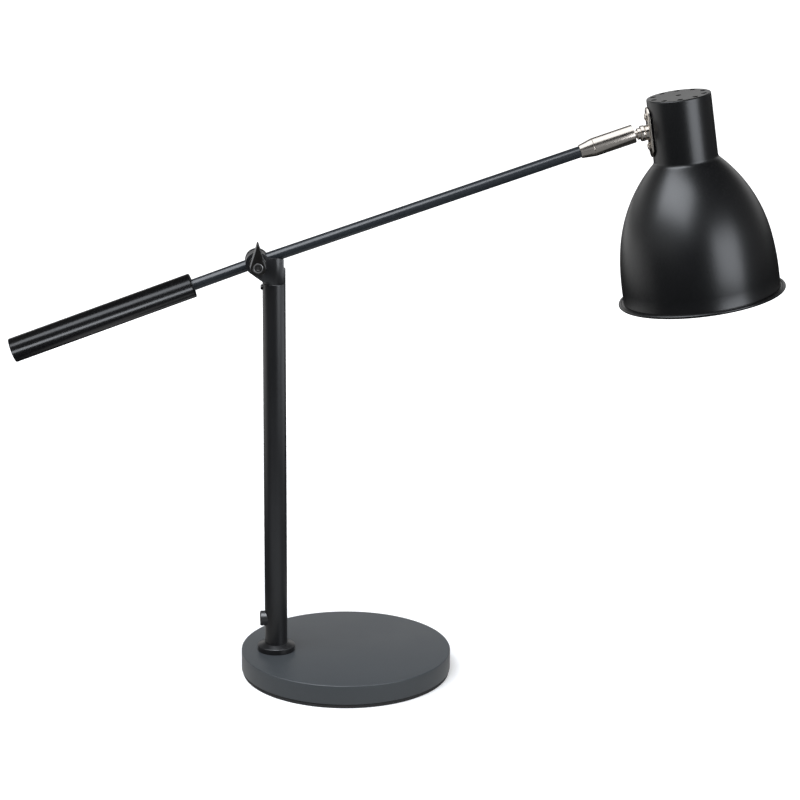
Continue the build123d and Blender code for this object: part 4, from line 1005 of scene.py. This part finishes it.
def pale_floor():
    """White floor that keeps the lamp's shadow. In reflections it glows with painted light, in a pool
    round the lamp and in a patch towards its left.
    """
    bpy.ops.mesh.primitive_plane_add(size=40, location=(0, 0, -0.0001))
    floor = bpy.context.object
    floor.name = "floor"
    material, tree, shader = bare_material("pale_floor")
    link = tree.links.new
    shader.inputs["Base Color"].default_value = (0.86, 0.86, 0.86, 1)
    shader.inputs["Roughness"].default_value = 0.9
    shader.inputs["Specular IOR Level"].default_value = 0.0
    shader.inputs["Emission Color"].default_value = (1, 1, 1, 1)
    path = tree.nodes.new("ShaderNodeLightPath")
    spot = tree.nodes.new("ShaderNodeTexCoord")
    away = tree.nodes.new("ShaderNodeVectorMath")
    away.operation = "LENGTH"
    link(spot.outputs["Object"], away.inputs[0])
    white = faded(tree, away.outputs["Value"], 0.35, 1.2, 0.30, 1.0)
    seen_white = math_node(tree, "MULTIPLY", path.outputs["Is Camera Ray"], white)
    link(seen_white, shader.inputs["Emission Strength"])
    split = tree.nodes.new("ShaderNodeSeparateXYZ")
    link(spot.outputs["Object"], split.inputs["Vector"])
    # painted light: a glowing pool round the lamp and a glowing patch to its left, seen only in
    # reflections
    pool = faded(tree, away.outputs["Value"], 0.15, 0.25, 0.6, 0.012)
    left = math_node(tree, "MULTIPLY", faded(tree, split.outputs["X"], -1.0, -0.4, 1.1, 0.0),
                     faded(tree, split.outputs["Y"], -0.5, 0.2, 0.0, 1.0))
    glow = tree.nodes.new("ShaderNodeEmission")
    link(math_node(tree, "ADD", pool, left), glow.inputs["Strength"])
    mixer = tree.nodes.new("ShaderNodeMixShader")
    link(seen_in_gloss(tree, path), mixer.inputs["Fac"])
    link(shader.outputs["BSDF"], mixer.inputs[1])
    link(glow.outputs["Emission"], mixer.inputs[2])
    link(mixer.outputs["Shader"], tree.nodes["Material Output"].inputs["Surface"])
    floor.data.materials.append(material)


def studio_world():
    """White backdrop. In reflections it glows low behind the lamp and at its two sides."""
    world = bpy.data.worlds.new("studio")
    bpy.context.scene.world = world
    world.use_nodes = True
    tree = world.node_tree
    link = tree.links.new
    background = tree.nodes["Background"]
    background.inputs["Color"].default_value = (1, 1, 1, 1)
    path = tree.nodes.new("ShaderNodeLightPath")
    spot = tree.nodes.new("ShaderNodeTexCoord")
    split = tree.nodes.new("ShaderNodeSeparateXYZ")
    link(spot.outputs["Generated"], split.inputs["Vector"])
    behind = math_node(tree, "MULTIPLY", faded(tree, split.outputs["Y"], 0.0, 0.9, 0.0, 0.9),
                       faded(tree, split.outputs["Z"], 0.22, 0.5, 1.0, 0.06))
    behind = math_node(tree, "MULTIPLY", behind, faded(tree, split.outputs["Z"], 0.0, 0.14, 0.1, 1.0))
    left = faded(tree, split.outputs["X"], -0.95, -0.35, 0.35, 0.0)
    right = faded(tree, split.outputs["X"], 0.6, 1.0, 0.0, 0.2)
    sides = math_node(tree, "ADD", left, right)
    room = math_node(tree, "ADD", math_node(tree, "MAXIMUM", behind, sides), 0.02)
    in_gloss = seen_in_gloss(tree, path)
    reflected = math_node(tree, "MULTIPLY", in_gloss, room)
    soft_fill = math_node(tree, "MULTIPLY", math_node(tree, "SUBTRACT", 1.0, in_gloss), 0.35)
    level = math_node(tree, "ADD", reflected, soft_fill)
    link(math_node(tree, "MAXIMUM", level, path.outputs["Is Camera Ray"]), background.inputs["Strength"])


def area_lamp(name, where, facing, size, radiance, lit=(), unlit=()):
    """A card of even light that the camera doesn't see. It lights all, or only some pieces."""
    data = bpy.data.lights.new(name, "AREA")
    data.shape = "RECTANGLE"
    data.size, data.size_y = size
    data.energy = radiance * math.pi * size[0] * size[1]
    data.color = COOL
    lamp = bpy.data.objects.new(name, data)
    lamp.location = where
    lamp.rotation_euler = Vector(facing).to_track_quat("-Z", "Y").to_euler()
    lamp.visible_camera = False
    bpy.context.scene.collection.objects.link(lamp)
    if lit or unlit:
        chosen = bpy.data.collections.new(name + "_pieces")
        for piece in lit + unlit:
            chosen.objects.link(bpy.data.objects[piece])
        for child in chosen.collection_objects:
            child.light_linking.link_state = "INCLUDE" if lit else "EXCLUDE"
        lamp.light_linking.receiver_collection = chosen


def softbox(name, azimuth, elevation, distance, size, radiance, aim=(0.05, 0, 0.28), lit=(), unlit=()):
    """A card at a bearing from the camera's side and an elevation, turned to what it's aimed at."""
    a, e = math.radians(azimuth), math.radians(elevation)
    way = Vector((math.sin(a) * math.cos(e), -math.cos(a) * math.cos(e), math.sin(e)))
    area_lamp(name, Vector(aim) + way * distance, -way, size, radiance, lit, unlit)


def camera():
    """The photograph's camera, from a fit of the lamp's edges."""
    azimuth, pitch, roll = (math.radians(v) for v in (5.004, 15.367, 0.433))
    data = bpy.data.cameras.new("photo_view")
    data.sensor_width = 36.0
    data.lens = 112.5
    data.clip_end = 100.0
    eye = bpy.data.objects.new("photo_view", data)
    turn = Matrix.Rotation(-azimuth, 4, "Z") @ Matrix.Rotation(math.pi / 2 - pitch, 4, "X")
    place_of_eye = Matrix.Translation((-0.13036, -2.00006, 0.79009))
    eye.matrix_world = place_of_eye @ turn @ Matrix.Rotation(roll, 4, "Z")
    bpy.context.scene.collection.objects.link(eye)
    bpy.context.scene.camera = eye


pale_floor()
studio_world()
COOL = (0.90, 0.94, 1.0)
BAR = ("balance_bar",)
UPRIGHT = ("post_sleeve", "pivot_head_finished", "push_button", "foot_ring")
EDGED = ("pointed_lever", "pivot_head_finished", "arm_hub_finished")
PLATED = ("tapered_collar", "ball_barrel", "ball_and_stud", "locking_collar", "mounting_strap",
          "strap_screws", "lever_bush", "round_head_bolt")
PIVOT_SPOT = Vector(PIVOT) * MM
# bearing and elevation in degrees, distance and size in metres, radiance, then the point aimed at
softbox("key_left", -50, 52, 1.7, (1.8, 1.15), 7.0, unlit=BAR + PLATED)
softbox("strip_right", 42, 12, 1.3, (0.8, 0.66), 5.6, unlit=BAR)
softbox("bar_upper", -25, 47, 1.2, (1.2, 0.50), 4.2, (-0.19, 0, 0.31), lit=BAR)
softbox("bar_lower", 0, -17, 0.9, (1.1, 0.42), 7.0, (-0.19, 0, 0.31), lit=BAR)
softbox("post_right", 92, 6, 1.0, (0.9, 0.7), 1.7, (-0.06, 0, 0.2), lit=UPRIGHT)
softbox("edge_left", -88, 12, 0.9, (0.7, 0.7), 4.5, PIVOT_SPOT, lit=EDGED)
softbox("edge_right", 100, 12, 0.9, (0.7, 0.7), 3.5, PIVOT_SPOT, lit=EDGED)
area_lamp("plated_floor", (0.15, -0.8, 0.008), (0, 0, 1), (2.0, 1.3), 0.22, lit=PLATED)
area_lamp("plated_front", (0.15, -1.6, 0.5), (0, 1, 0), (2.4, 0.9), 0.26, lit=PLATED)
area_lamp("plated_ceiling", (0.1, -0.1, 1.5), (0, 0, -1), (2.2, 1.5), 1.7, lit=PLATED)
area_lamp("upright_ceiling", (-0.07, -0.3, 1.3), (0, 0, -1), (1.0, 1.0), 9.0, lit=UPRIGHT)
area_lamp("upright_floor", (-0.15, -0.42, 0.006), (0, 0, 1), (0.7, 0.5), 0.8, lit=UPRIGHT)
area_lamp("base_ceiling", (0, 0, 1.5), (0, 0, -1), (1.0, 1.0), 4.0, lit=("base_dish",))
camera()

bpy.context.scene.view_settings.view_transform = "Standard"
